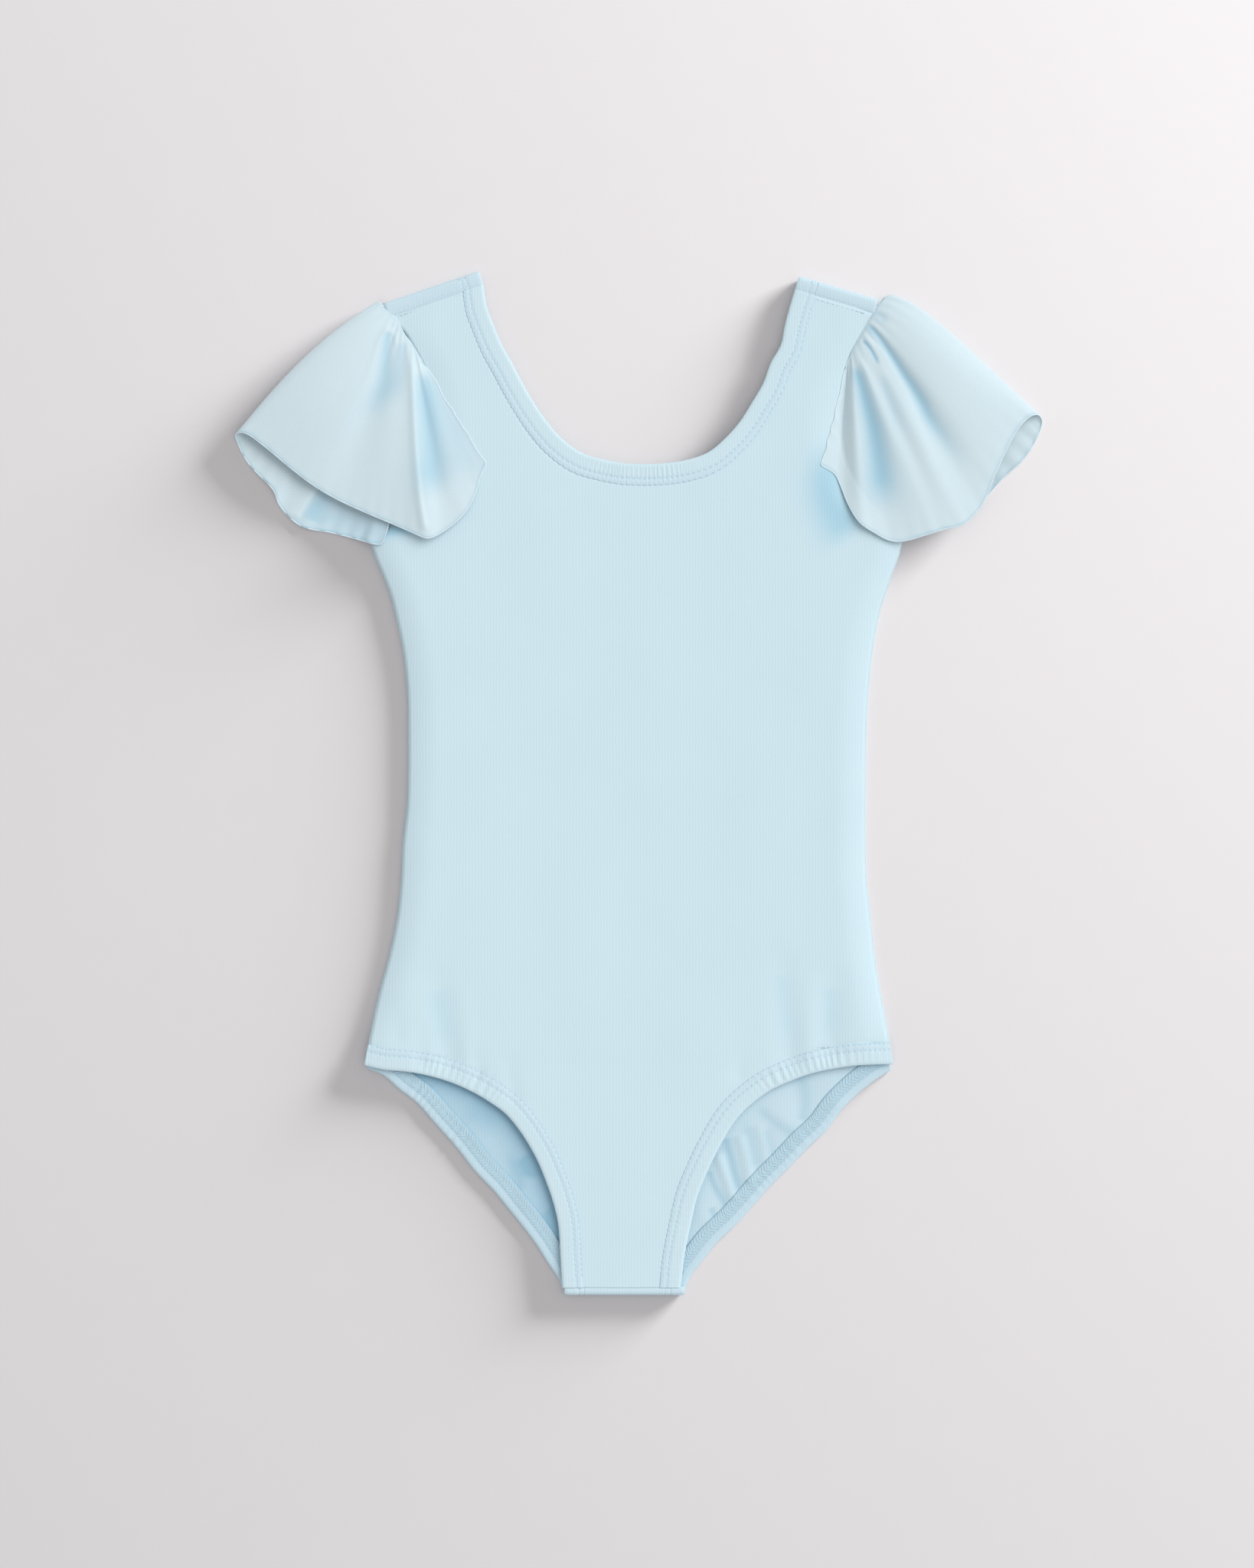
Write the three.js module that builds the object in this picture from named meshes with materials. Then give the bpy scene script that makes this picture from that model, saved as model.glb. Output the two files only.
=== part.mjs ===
// A child's dance leotard in fine rib knit with sheer flutter sleeves, laid flat, face up.
// Sizes are in millimetres. +X is to the right as seen from above, +Y towards the
// shoulders and +Z up. The back panel and the lower layer of each sleeve lie on z = 0.
//
// Every piece is one wall of cloth. A grid of points gives the middle of the wall, and the
// wall's two faces stand off that grid along its normals. "Outer" is the face that shows
// when the leotard is worn: up on the front panel, down on the back panel.

import * as THREE from 'three';

// Driving sizes

const PANEL_HALF_WALL = 0.6;
const SLEEVE_HALF_WALL = 0.5;
const ROLLED_HEM_HALF_WALL = 0.8;
const SEAM_GAP = 0.3;
const HEM_WIDTH = 10.5;
const BACK_REST = PANEL_HALF_WALL;
const SHOULDER_ROLL = 1.7;
const CROTCH_ROLL = 1.55;
const CROTCH_TURN = 1.2;
const SIDE_ROUNDING = 15;
const NECK_SHARE_BESIDE_ARMHOLE = 0.3;
const GATHER_PITCH = 3.75;
const GATHER_HEIGHT = 0.25;
const ORIGIN = { x: 0.47, y: -0.08 };

// Grid steps

const STEPS = {
	armhole: 9, chest: 16, yoke: 5, side: 12, leg: 14, roll: 4,
	sleeveAlong: 9, betweenFolds: 2, neckHem: 18, legHem: 10, chord: 60,
};

// Outline of the panels below the shoulder seams. Rows run down: the x of the left and the
// right edge at each height y.

const FRONT_NECK = [
	{ y: 233.5, left: -74, right: 74.5 },
	{ y: 224, left: -70.5, right: 72 },
	{ y: 214.5, left: -66.5, right: 70 },
	{ y: 205.5, left: -61.5, right: 65 },
	{ y: 196, left: -56.5, right: 61.5 },
	{ y: 186.5, left: -51, right: 56 },
	{ y: 177, left: -44.5, right: 50 },
	{ y: 169, left: -37.5, right: 43 },
	{ y: 162, left: -28, right: 34.5 },
	{ y: 158.5, left: -17, right: 25 },
	{ y: 156.5, left: -5.5, right: 12 },
];

const BACK_NECK = [
	{ y: 233.5, left: -79.5, right: 80 },
	{ y: 214.5, left: -80, right: 80.5 },
	{ y: 197, left: -79, right: 79.5 },
	{ y: 181, left: -76, right: 76.5 },
	{ y: 167, left: -69.5, right: 70 },
	{ y: 155.5, left: -59, right: 59.5 },
	{ y: 147.5, left: -45, right: 46 },
	{ y: 142.5, left: -28, right: 29 },
	{ y: 140.5, left: -9, right: 10 },
];

const ARMHOLE = [
	{ y: 222, left: -115, right: 111 },
	{ y: 214, left: -110, right: 106.5 },
	{ y: 203.5, left: -104.5, right: 101.5 },
	{ y: 188.5, left: -100.5, right: 98.5 },
	{ y: 173.5, left: -98.5, right: 97 },
	{ y: 158.5, left: -100.5, right: 99 },
	{ y: 143.5, left: -107, right: 106 },
	{ y: 132, left: -117.5, right: 116 },
	{ y: 124.5, left: -126, right: 124.5 },
	{ y: 120, left: -131.5, right: 130 },
];

const SIDE = [
	{ y: 120, left: -131.5, right: 130 },
	{ y: 111.5, left: -129, right: 128 },
	{ y: 102, left: -125, right: 124.5 },
	{ y: 93, left: -121.5, right: 121.5 },
	{ y: 83.5, left: -119, right: 118.5 },
	{ y: 64.5, left: -115, right: 115 },
	{ y: 46, left: -113, right: 113 },
	{ y: 27, left: -112.5, right: 112 },
	{ y: -10.5, left: -113, right: 111.5 },
	{ y: -29, left: -115, right: 111.5 },
	{ y: -48, left: -116, right: 112 },
	{ y: -66.5, left: -118, right: 114 },
	{ y: -85.5, left: -122, right: 116 },
	{ y: -104, left: -127, right: 119 },
	{ y: -123, left: -131, right: 122.5 },
	{ y: -138.5, left: -134, right: 125 },
];

// Edges of the leg openings, from the hip corner to the crotch.

const FRONT_LEG = [
	{ leftX: -134, leftY: -138.5, rightX: 125, rightY: -138 },
	{ leftX: -125, leftY: -140.5, rightX: 117, rightY: -138 },
	{ leftX: -113.5, leftY: -141.5, rightX: 107.5, rightY: -138.5 },
	{ leftX: -102.5, leftY: -143.5, rightX: 96.5, rightY: -140 },
	{ leftX: -91, leftY: -147, rightX: 85, rightY: -142.5 },
	{ leftX: -80, leftY: -152, rightX: 74, rightY: -146.5 },
	{ leftX: -72.5, leftY: -156.5, rightX: 64.5, rightY: -151 },
	{ leftX: -65, leftY: -162, rightX: 54.5, rightY: -158.5 },
	{ leftX: -57.5, leftY: -171, rightX: 47.5, rightY: -166 },
	{ leftX: -50, leftY: -183.5, rightX: 40, rightY: -178.5 },
	{ leftX: -45.5, leftY: -194, rightX: 33.5, rightY: -192 },
	{ leftX: -41.5, leftY: -205.5, rightX: 29, rightY: -203.5 },
	{ leftX: -39, leftY: -216.5, rightX: 26, rightY: -216.5 },
	{ leftX: -38, leftY: -231.5, rightX: 23, rightY: -231.5 },
	{ leftX: -37, leftY: -247.5, rightX: 21, rightY: -247.5 },
];

const BACK_LEG = [
	{ leftX: -133, leftY: -140, rightX: 124, rightY: -141 },
	{ leftX: -125, leftY: -143.5, rightX: 115, rightY: -147 },
	{ leftX: -117.5, leftY: -150, rightX: 107.5, rightY: -153 },
	{ leftX: -108, leftY: -157.5, rightX: 100, rightY: -160.5 },
	{ leftX: -100.5, leftY: -166, rightX: 92.5, rightY: -170.5 },
	{ leftX: -89, leftY: -179, rightX: 83.5, rightY: -179 },
	{ leftX: -80, leftY: -190.5, rightX: 74.5, rightY: -188.5 },
	{ leftX: -70.5, leftY: -200.5, rightX: 65, rightY: -198 },
	{ leftX: -64, leftY: -208.5, rightX: 57, rightY: -207 },
	{ leftX: -57.5, leftY: -216.5, rightX: 48.5, rightY: -216.5 },
	{ leftX: -50, leftY: -226.5, rightX: 38.5, rightY: -226 },
	{ leftX: -44, leftY: -236, rightX: 31, rightY: -235.5 },
	{ leftX: -39.5, leftY: -242.5, rightX: 26, rightY: -242 },
	{ leftX: -36, leftY: -249, rightX: 23, rightY: -249 },
];

// Shoulder folds, where the back panel turns over to the front, and the shoulder seams.

const SHOULDERS = {
	left: { neckX: -78, neckY: 251, armX: -125, armY: 235 },
	right: { neckX: 79, neckY: 248.5, armX: 118, armY: 237 },
};
const SHOULDER_TURN = 7;

// Height of the front panel's middle above the table: at its side seam, and away from it.

const FRONT_HEIGHT = [
	{ y: 245, seam: 4.0, body: 4.0 },
	{ y: 215, seam: 3.6, body: 4.4 },
	{ y: 160, seam: 2.7, body: 4.7 },
	{ y: 120, seam: 2.1, body: 4.7 },
	{ y: 0, seam: 2.1, body: 4.7 },
	{ y: -105, seam: 2.1, body: 4.9 },
	{ y: -128, seam: 3.4, body: 4.8 },
	{ y: -140, seam: 3.9, body: 4.6 },
	{ y: -205, seam: 4.4, body: 4.4 },
	{ y: -235, seam: 4.0, body: 4.0 },
	{ y: -248, seam: 3.7, body: 3.7 },
];

// Soft creases that run up from the leg elastic into the front panel. A depth is a trough.

const FRONT_CREASES = [
	{ x: -98, y: -98, toX: -93, toY: -134, width: 7, depth: 1.2 },
	{ x: 71, y: -90, toX: 75, toY: -134, width: 7, depth: 1.1 },
	{ x: 95, y: -97, toX: 94, toY: -129, width: 7, depth: 1.2 },
];

// Ridges where the back panel lifts off the table inside the leg openings.

const BACK_RIDGES = [
	{ x: 37, y: -176, toX: 43, toY: -206, width: 4, height: 1.3 },
	{ x: 50, y: -172, toX: 56, toY: -198, width: 4, height: 1.1 },
	{ x: 68, y: -152, toX: 78, toY: -164, width: 5, height: 0.8 },
	{ x: -84, y: -158, toX: -76, toY: -176, width: 5, height: 0.8 },
	{ x: -58, y: -186, toX: -54, toY: -206, width: 4, height: 0.9 },
];

// Section across a turned elastic hem, from its edge to its second row of stitching: how far
// the outer and the inner face stand off the middle of the cloth.

const FRONT_HEM_SECTION = [
	{ across: 0, outer: 0.35, inner: 0.5 },
	{ across: 1.4, outer: 0.95, inner: 1.2 },
	{ across: 6.2, outer: 0.95, inner: 1.2 },
	{ across: 7.1, outer: 0.55, inner: 1.1 },
	{ across: 8.7, outer: 0.85, inner: 1.1 },
	{ across: 10.4, outer: 0.6, inner: 1.0 },
];

const BACK_HEM_SECTION = [
	{ across: 0, outer: 0.6, inner: 0.2 },
	{ across: 1.4, outer: 0.6, inner: 1.2 },
	{ across: 5.8, outer: 0.6, inner: 1.2 },
	{ across: 7.1, outer: 0.6, inner: 0.9 },
	{ across: 8.7, outer: 0.6, inner: 1.2 },
	{ across: 10.4, outer: 0.6, inner: 1.05 },
];

// Folds of the flutter sleeves, from the loose front edge over the outer fold to the loose
// back edge. Each fold runs from the armhole seam to the rolled hem. "bow" lifts its middle
// and "swell" moves its middle sideways, away from the body.

const LEFT_SLEEVE = [
	{ seamX: -105.5, seamY: 205.5, seamZ: 5.9, hemX: -74.5, hemY: 156.5, hemZ: 7.4, bow: 0.8, swell: 0 },
	{ seamX: -106, seamY: 207, seamZ: 5.9, hemX: -77, hemY: 150.5, hemZ: 6.9, bow: 0.8, swell: 0 },
	{ seamX: -107.5, seamY: 209.5, seamZ: 5.8, hemX: -81, hemY: 138, hemZ: 7.5, bow: 1.2, swell: 0 },
	{ seamX: -108.5, seamY: 211.5, seamZ: 5.7, hemX: -87, hemY: 129.5, hemZ: 7.7, bow: 1, swell: 0 },
	{ seamX: -109.5, seamY: 213, seamZ: 5.7, hemX: -94.5, hemY: 123.5, hemZ: 6.9, bow: 0.2, swell: 0 },
	{ seamX: -111, seamY: 215.5, seamZ: 5.6, hemX: -102.5, hemY: 119.5, hemZ: 11, bow: 2.6, swell: 0 },
	{ seamX: -112.5, seamY: 217.5, seamZ: 5.5, hemX: -108, hemY: 121.5, hemZ: 9.4, bow: 2.6, swell: 0 },
	{ seamX: -114, seamY: 219.5, seamZ: 5.4, hemX: -117, hemY: 125.5, hemZ: 7.8, bow: 2.6, swell: 0 },
	{ seamX: -115.5, seamY: 222, seamZ: 5.4, hemX: -130, hemY: 131, hemZ: 7.2, bow: 3, swell: 0 },
	{ seamX: -117, seamY: 225, seamZ: 5.3, hemX: -146.5, hemY: 138.5, hemZ: 5, bow: 1.2, swell: 0 },
	{ seamX: -119, seamY: 228, seamZ: 5.3, hemX: -158.5, hemY: 145.5, hemZ: 6.2, bow: 5, swell: 0.5 },
	{ seamX: -121, seamY: 230.5, seamZ: 5.3, hemX: -171, hemY: 155, hemZ: 6.8, bow: 4.6, swell: 1.5 },
	{ seamX: -123, seamY: 232.5, seamZ: 5.3, hemX: -183, hemY: 165, hemZ: 6.4, bow: 4.4, swell: 2.5 },
	{ seamX: -125.5, seamY: 234.5, seamZ: 5.1, hemX: -192.5, hemY: 171.5, hemZ: 5.4, bow: 3, swell: 3.6 },
	{ seamX: -127.6, seamY: 235.5, seamZ: 3, hemX: -197, hemY: 171, hemZ: 3, bow: 1.4, swell: 4.4 },
	{ seamX: -126.2, seamY: 233.2, seamZ: 0.6, hemX: -196.5, hemY: 167.5, hemZ: 0.6, bow: 0, swell: 3.4 },
	{ seamX: -123.2, seamY: 230.4, seamZ: 0.5, hemX: -191, hemY: 156.5, hemZ: 0.5, bow: 0, swell: 1.5 },
	{ seamX: -119.6, seamY: 225.8, seamZ: 0.5, hemX: -178.5, hemY: 143.5, hemZ: 1.4, bow: 0.3, swell: 0.5 },
	{ seamX: -117.2, seamY: 222, seamZ: 0.5, hemX: -176, hemY: 136.5, hemZ: 0.5, bow: 0, swell: 0 },
	{ seamX: -114, seamY: 217, seamZ: 0.5, hemX: -165.5, hemY: 126, hemZ: 1.1, bow: 0.2, swell: 0 },
	{ seamX: -109.4, seamY: 209, seamZ: 0.5, hemX: -151, hemY: 123, hemZ: 0.5, bow: 0, swell: 0 },
	{ seamX: -105.4, seamY: 200.5, seamZ: 0.5, hemX: -137.5, hemY: 119.5, hemZ: 1.8, bow: 0.2, swell: 0 },
	{ seamX: -103.6, seamY: 194.5, seamZ: 0.5, hemX: -132, hemY: 117.8, hemZ: 4.1, bow: 0.2, swell: 0 },
	{ seamX: -102.3, seamY: 188, seamZ: 0.6, hemX: -125.5, hemY: 117, hemZ: 4.8, bow: 0.3, swell: 0 },
	{ seamX: -101.4, seamY: 180, seamZ: 0.8, hemX: -122.5, hemY: 126, hemZ: 4.8, bow: 0.3, swell: 0 },
];

const RIGHT_SLEEVE = [
	{ seamX: 102, seamY: 203.5, seamZ: 5.6, hemX: 90, hemY: 155.5, hemZ: 6.9, bow: 0.8, swell: 1.5 },
	{ seamX: 102.3, seamY: 204.7, seamZ: 5.6, hemX: 96.5, hemY: 151.5, hemZ: 6.8, bow: 0.8, swell: 1.5 },
	{ seamX: 102.8, seamY: 206, seamZ: 5.6, hemX: 99.5, hemY: 145.5, hemZ: 7.2, bow: 1, swell: 0.5 },
	{ seamX: 103.4, seamY: 207.4, seamZ: 5.6, hemX: 103, hemY: 136.5, hemZ: 8.6, bow: 1.2, swell: 0 },
	{ seamX: 104, seamY: 208.8, seamZ: 5.6, hemX: 108.5, hemY: 127.5, hemZ: 10.6, bow: 2.4, swell: 0 },
	{ seamX: 104.7, seamY: 210.5, seamZ: 5.5, hemX: 115, hemY: 123, hemZ: 7.8, bow: 1, swell: 0 },
	{ seamX: 105.5, seamY: 212.2, seamZ: 5.5, hemX: 126, hemY: 118, hemZ: 5.2, bow: 0.2, swell: 0 },
	{ seamX: 106.6, seamY: 214, seamZ: 5.4, hemX: 143, hemY: 122, hemZ: 7.8, bow: 3.6, swell: 0 },
	{ seamX: 108.2, seamY: 217, seamZ: 5.4, hemX: 151, hemY: 124.5, hemZ: 6.6, bow: 1.8, swell: 0 },
	{ seamX: 109.8, seamY: 220, seamZ: 5.3, hemX: 158.5, hemY: 126, hemZ: 7.2, bow: 4.4, swell: 1 },
	{ seamX: 111.4, seamY: 223, seamZ: 5.3, hemX: 168, hemY: 135, hemZ: 4, bow: 1, swell: 2 },
	{ seamX: 113.2, seamY: 226.4, seamZ: 5.3, hemX: 175.5, hemY: 152.5, hemZ: 6.8, bow: 5.2, swell: 2 },
	{ seamX: 115.2, seamY: 230, seamZ: 5.3, hemX: 185.5, hemY: 172.5, hemZ: 6.2, bow: 4.8, swell: 3.5 },
	{ seamX: 117.8, seamY: 234, seamZ: 5.2, hemX: 192, hemY: 179.5, hemZ: 5, bow: 3, swell: 5.5 },
	{ seamX: 120.6, seamY: 237.6, seamZ: 3, hemX: 196.5, hemY: 180.5, hemZ: 2.8, bow: 1.4, swell: 6.5 },
	{ seamX: 119.3, seamY: 235, seamZ: 0.6, hemX: 198.5, hemY: 177, hemZ: 0.6, bow: 0, swell: 5 },
	{ seamX: 117, seamY: 230.8, seamZ: 0.5, hemX: 195, hemY: 167.5, hemZ: 0.5, bow: 0, swell: 2.5 },
	{ seamX: 114.4, seamY: 226.2, seamZ: 0.5, hemX: 189, hemY: 158.5, hemZ: 0.9, bow: 0.2, swell: 1 },
	{ seamX: 111.8, seamY: 221.6, seamZ: 0.5, hemX: 178.5, hemY: 149, hemZ: 0.5, bow: 0, swell: 0 },
	{ seamX: 108.4, seamY: 215.4, seamZ: 0.5, hemX: 169.5, hemY: 139, hemZ: 0.5, bow: 0, swell: 0 },
	{ seamX: 105, seamY: 208.6, seamZ: 0.5, hemX: 157, hemY: 131.5, hemZ: 1, bow: 0.2, swell: 0 },
	{ seamX: 101.6, seamY: 197, seamZ: 0.5, hemX: 143, hemY: 127.5, hemZ: 0.5, bow: 0, swell: 0 },
	{ seamX: 99.6, seamY: 183, seamZ: 0.5, hemX: 129.5, hemY: 127.5, hemZ: 0.5, bow: 0, swell: 0 },
];

// Where along a fold its swell is greatest: below 1 it is nearer the shoulder.
const SWELL_SKEW = { left: 0.85, right: 0.45 };

const FINISH = {
	knit: { color: 0xcbe2ea, roughness: 0.85, metalness: 0 },
	sheer: { color: 0xd3e5ea, roughness: 0.75, metalness: 0 },
	elastic: { color: 0xc3dce6, roughness: 0.8, metalness: 0 },
};

// Curves and tables

const flat = (x, y) => new THREE.Vector3(x, y, 0);
const mix = (a, b, t) => a.clone().lerp(b, t);
const steps = (count) => Array.from({ length: count + 1 }, (_, i) => i / count);

function smoothCurve(points) {
	return new THREE.CatmullRomCurve3(points, false, 'centripetal');
}

// Value of one column at height y, on a cubic through a table whose rows run down in y.
function atHeight(table, y, column) {
	const last = table.length - 1;
	if (y >= table[0].y) return table[0][column];
	if (y <= table[last].y) return table[last][column];
	const i = table.findIndex((row, k) => k < last && y <= row.y && y > table[k + 1].y);
	const slope = (a, b) => (table[b][column] - table[a][column]) / (table[b].y - table[a].y);
	const here = slope(Math.max(i - 1, 0), i + 1);
	const next = slope(i, Math.min(i + 2, last));
	const span = table[i + 1].y - table[i].y;
	const t = (y - table[i].y) / span;
	return table[i][column] * (1 + 2 * t) * (1 - t) ** 2 + here * span * t * (1 - t) ** 2
		+ table[i + 1][column] * t * t * (3 - 2 * t) + next * span * t * t * (t - 1);
}

// A shoulder's fold line, and points measured from it: "across" runs along the fold from the
// neck to the armhole, and "down" square to it, from the fold towards the body.
function shoulder(side) {
	const { neckX, neckY, armX, armY } = SHOULDERS[side];
	const along = flat(armX - neckX, armY - neckY);
	const width = along.length();
	along.normalize();
	const away = flat(-along.y, along.x);
	if (away.y < 0) away.negate();
	const point = (across, down) => flat(neckX, neckY)
		.addScaledVector(along, across).addScaledVector(away, -down);
	return { along, away, width, point };
}

// A neckline: down the left edge from one shoulder, round the bottom and up to the other.
function neckEdge(table, down) {
	const left = table.map((row) => flat(row.left, row.y));
	const right = table.map((row) => flat(row.right, row.y)).reverse();
	const [start, end] = [shoulder('left'), shoulder('right')];
	const curve = smoothCurve([start.point(0, down), ...left, ...right, end.point(0, down)]);
	return { curve, turn: -1, startInto: start.along, endInto: end.along };
}

// The edge of a leg opening, from the side seam at the hip to the crotch.
function legEdge(table, side) {
	const curve = smoothCurve(table.map((row) => flat(row[`${side}X`], row[`${side}Y`])));
	const [hip, above] = [SIDE[SIDE.length - 1], SIDE[SIDE.length - 2]];
	const startInto = flat(above[side] - hip[side], above.y - hip.y).normalize();
	const turn = side === 'left' ? 1 : -1;
	return { curve, turn, startInto, endInto: flat(turn, 0) };
}

function armholeCurve(side, down) {
	const { width, point } = shoulder(side);
	return smoothCurve([point(width, down), ...ARMHOLE.map((row) => flat(row[side], row.y))]);
}

// Direction in the plane from an edge into its cloth. It is square to the edge, but turns to
// the line of the seam at either end.
function inward({ curve, turn, startInto, endInto }, t) {
	const tangent = curve.getTangentAt(t);
	return flat(-tangent.y, tangent.x).multiplyScalar(turn)
		.lerp(startInto, 1 - THREE.MathUtils.smoothstep(t, 0, 0.09))
		.lerp(endInto, THREE.MathUtils.smoothstep(t, 0.91, 1)).normalize();
}

// The line that a panel's cloth ends on, beside the inner edge of its hem.
function stitchLine(edge) {
	return smoothCurve(steps(STEPS.chord).map((t) =>
		edge.curve.getPointAt(t).addScaledVector(inward(edge, t), HEM_WIDTH + SEAM_GAP)));
}

// Heights of the panels

// How strongly a crease or ridge acts at a point: 1 on its line, fading to 0 around it.
function nearLine(line, x, y) {
	const run = new THREE.Vector2(line.toX - line.x, line.toY - line.y);
	const from = new THREE.Vector2(x - line.x, y - line.y);
	const t = THREE.MathUtils.clamp(from.dot(run) / run.lengthSq(), 0, 1);
	const away = from.sub(run.multiplyScalar(t)).length() / line.width;
	return Math.exp(-away * away) * (0.35 + 0.65 * t);
}

function frontLift(x, y) {
	const outline = y > SIDE[0].y ? ARMHOLE : SIDE;
	const fromSide = Math.min(x - atHeight(outline, y, 'left'), atHeight(outline, y, 'right') - x);
	const rise = THREE.MathUtils.clamp(fromSide / SIDE_ROUNDING, 0, 1);
	const seam = atHeight(FRONT_HEIGHT, y, 'seam');
	const body = atHeight(FRONT_HEIGHT, y, 'body');
	const creases = FRONT_CREASES.reduce((sum, line) => sum + line.depth * nearLine(line, x, y), 0);
	return seam + (body - seam) * (1 - (1 - rise) ** 2) - creases * rise;
}

function backLift(x, y) {
	const ridges = BACK_RIDGES.reduce((sum, line) => sum + line.height * nearLine(line, x, y), 0);
	return BACK_REST + (ridges > 0.05 ? ridges : 0);
}

// Walls of cloth

// A closed wall around a mesh of points. outer and inner give how far each face stands off
// its point. The faces' winding puts the outer face on the side of their normals.
function clothWall(points, faces, outer, inner) {
	const normals = points.map(() => new THREE.Vector3());
	const edges = new Map();
	for (const [a, b, c] of faces) {
		const ab = points[b].clone().sub(points[a]);
		const ac = points[c].clone().sub(points[a]);
		const normal = ab.cross(ac);
		for (const corner of [a, b, c]) normals[corner].add(normal);
		for (const [from, to] of [[a, b], [b, c], [c, a]]) edges.set(`${from}_${to}`, [from, to]);
	}
	normals.forEach((normal) => normal.normalize());

	const count = points.length;
	const positions = [
		...points.map((p, i) => p.clone().addScaledVector(normals[i], outer[i])),
		...points.map((p, i) => p.clone().addScaledVector(normals[i], -inner[i])),
	];
	const index = [];
	for (const [a, b, c] of faces) index.push(a, b, c, c + count, b + count, a + count);
	for (const [from, to] of edges.values()) {
		if (edges.has(`${to}_${from}`)) continue;
		index.push(to, from, from + count, to, from + count, to + count);
	}

	const geometry = new THREE.BufferGeometry();
	geometry.setAttribute('position',
		new THREE.Float32BufferAttribute(positions.flatMap((p) => [p.x, p.y, p.z]), 3));
	geometry.setIndex(index);
	geometry.computeVertexNormals();
	return geometry;
}

// Collects rows of points and the faces between them, sharing the points where rows join.
class ClothGrid {

	constructor(flip = false) {
		this.points = [];
		this.faces = [];
		this.flip = flip;
	}

	addRow(points) {
		return points.map((point) => this.points.push(point) - 1);
	}

	join(upper, lower) {
		for (let i = 0; i < upper.length - 1; i ++) {
			const quad = [upper[i], lower[i], lower[i + 1], upper[i + 1]];
			for (const [a, b, c] of [[quad[0], quad[1], quad[2]], [quad[0], quad[2], quad[3]]]) {
				this.faces.push(this.flip ? [a, c, b] : [a, b, c]);
			}
		}
	}

	wall(outer, inner) {
		const each = (value) => Array.isArray(value) ? value : this.points.map(() => value);
		return clothWall(this.points, this.faces, each(outer), each(inner));
	}

}

// Panels

// Rows of a body panel. The yoke's rows run round the neck, from the neck's stitch line out
// to the armholes and the chest line, and the rows below run from side to side, to the crotch.
function panelRows(neck, leg, shoulderDown) {
	const neckStitch = stitchLine(neck);
	const legStitch = { left: stitchLine(leg.left), right: stitchLine(leg.right) };
	const arm = {
		left: armholeCurve('left', shoulderDown), right: armholeCurve('right', shoulderDown),
	};
	const under = { left: flat(SIDE[0].left, SIDE[0].y), right: flat(SIDE[0].right, SIDE[0].y) };
	const share = NECK_SHARE_BESIDE_ARMHOLE;
	const pairs = [
		...steps(STEPS.armhole).map((t) => [neckStitch.getPointAt(t * share), arm.left.getPointAt(t)]),
		...steps(STEPS.chest).slice(1, -1).map((t) => [
			neckStitch.getPointAt(share + (1 - 2 * share) * t), mix(under.left, under.right, t)]),
		...steps(STEPS.armhole).reverse().map((t) => [
			neckStitch.getPointAt(1 - t * share), arm.right.getPointAt(t)]),
	];
	const yoke = steps(STEPS.yoke).map((t) => pairs.map(([inside, outside]) => mix(inside, outside, t)));

	const across = (left, right) => steps(STEPS.chest).map((t) => mix(left, right, t));
	const seam = {};
	for (const side of ['left', 'right']) {
		const end = legStitch[side].getPointAt(0);
		const rows = SIDE.filter((row) => row.y > end.y + 4).map((row) => flat(row[side], row.y));
		seam[side] = smoothCurve([...rows, end]);
	}
	const body = [
		...steps(STEPS.side).slice(1).map((t) => across(seam.left.getPointAt(t), seam.right.getPointAt(t))),
		...steps(STEPS.leg).slice(1).map((t) => across(
			legStitch.left.getPointAt(t), legStitch.right.getPointAt(t))),
	];
	return { yoke, body };
}

function fillPanel(grid, { yoke, body }, lift) {
	const raise = (row) => row.map((p) => new THREE.Vector3(p.x, p.y, lift(p.x, p.y)));
	const rings = yoke.map((row) => grid.addRow(raise(row)));
	for (let i = 0; i < rings.length - 1; i ++) grid.join(rings[i], rings[i + 1]);
	let above = rings[rings.length - 1].slice(STEPS.armhole, STEPS.armhole + STEPS.chest + 1);
	for (const row of body) {
		const below = grid.addRow(raise(row));
		grid.join(above, below);
		above = below;
	}
	return { rings, last: above };
}

const SHOULDER_FOOT = SHOULDER_ROLL + PANEL_HALF_WALL;
const frontNeck = neckEdge(FRONT_NECK, SHOULDER_TURN);
const backNeck = neckEdge(BACK_NECK, SHOULDER_FOOT);
const frontLeg = { left: legEdge(FRONT_LEG, 'left'), right: legEdge(FRONT_LEG, 'right') };
const backLeg = { left: legEdge(BACK_LEG, 'left'), right: legEdge(BACK_LEG, 'right') };

function frontPanel() {
	const grid = new ClothGrid();
	fillPanel(grid, panelRows(frontNeck, frontLeg, SHOULDER_TURN), frontLift);
	return grid.wall(PANEL_HALF_WALL, PANEL_HALF_WALL);
}

// A row of the back panel carried round a fold, from the table up to the front, and then
// "beyond" along the front.
function rollRows(row, away, roll, beyond) {
	const carry = (angle, past) => row.map((point) => {
		const moved = point.clone().addScaledVector(away, roll * Math.sin(angle) - past);
		return moved.setZ(BACK_REST + roll * (1 - Math.cos(angle)));
	});
	const rows = steps(STEPS.roll).slice(1).map((t) => carry(Math.PI * t, 0));
	return beyond > 0 ? [...rows, carry(Math.PI, beyond)] : rows;
}

function shoulderRoll(row, side) {
	return rollRows(row, shoulder(side).away, SHOULDER_ROLL, SHOULDER_TURN - SHOULDER_FOOT - SEAM_GAP);
}

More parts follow.
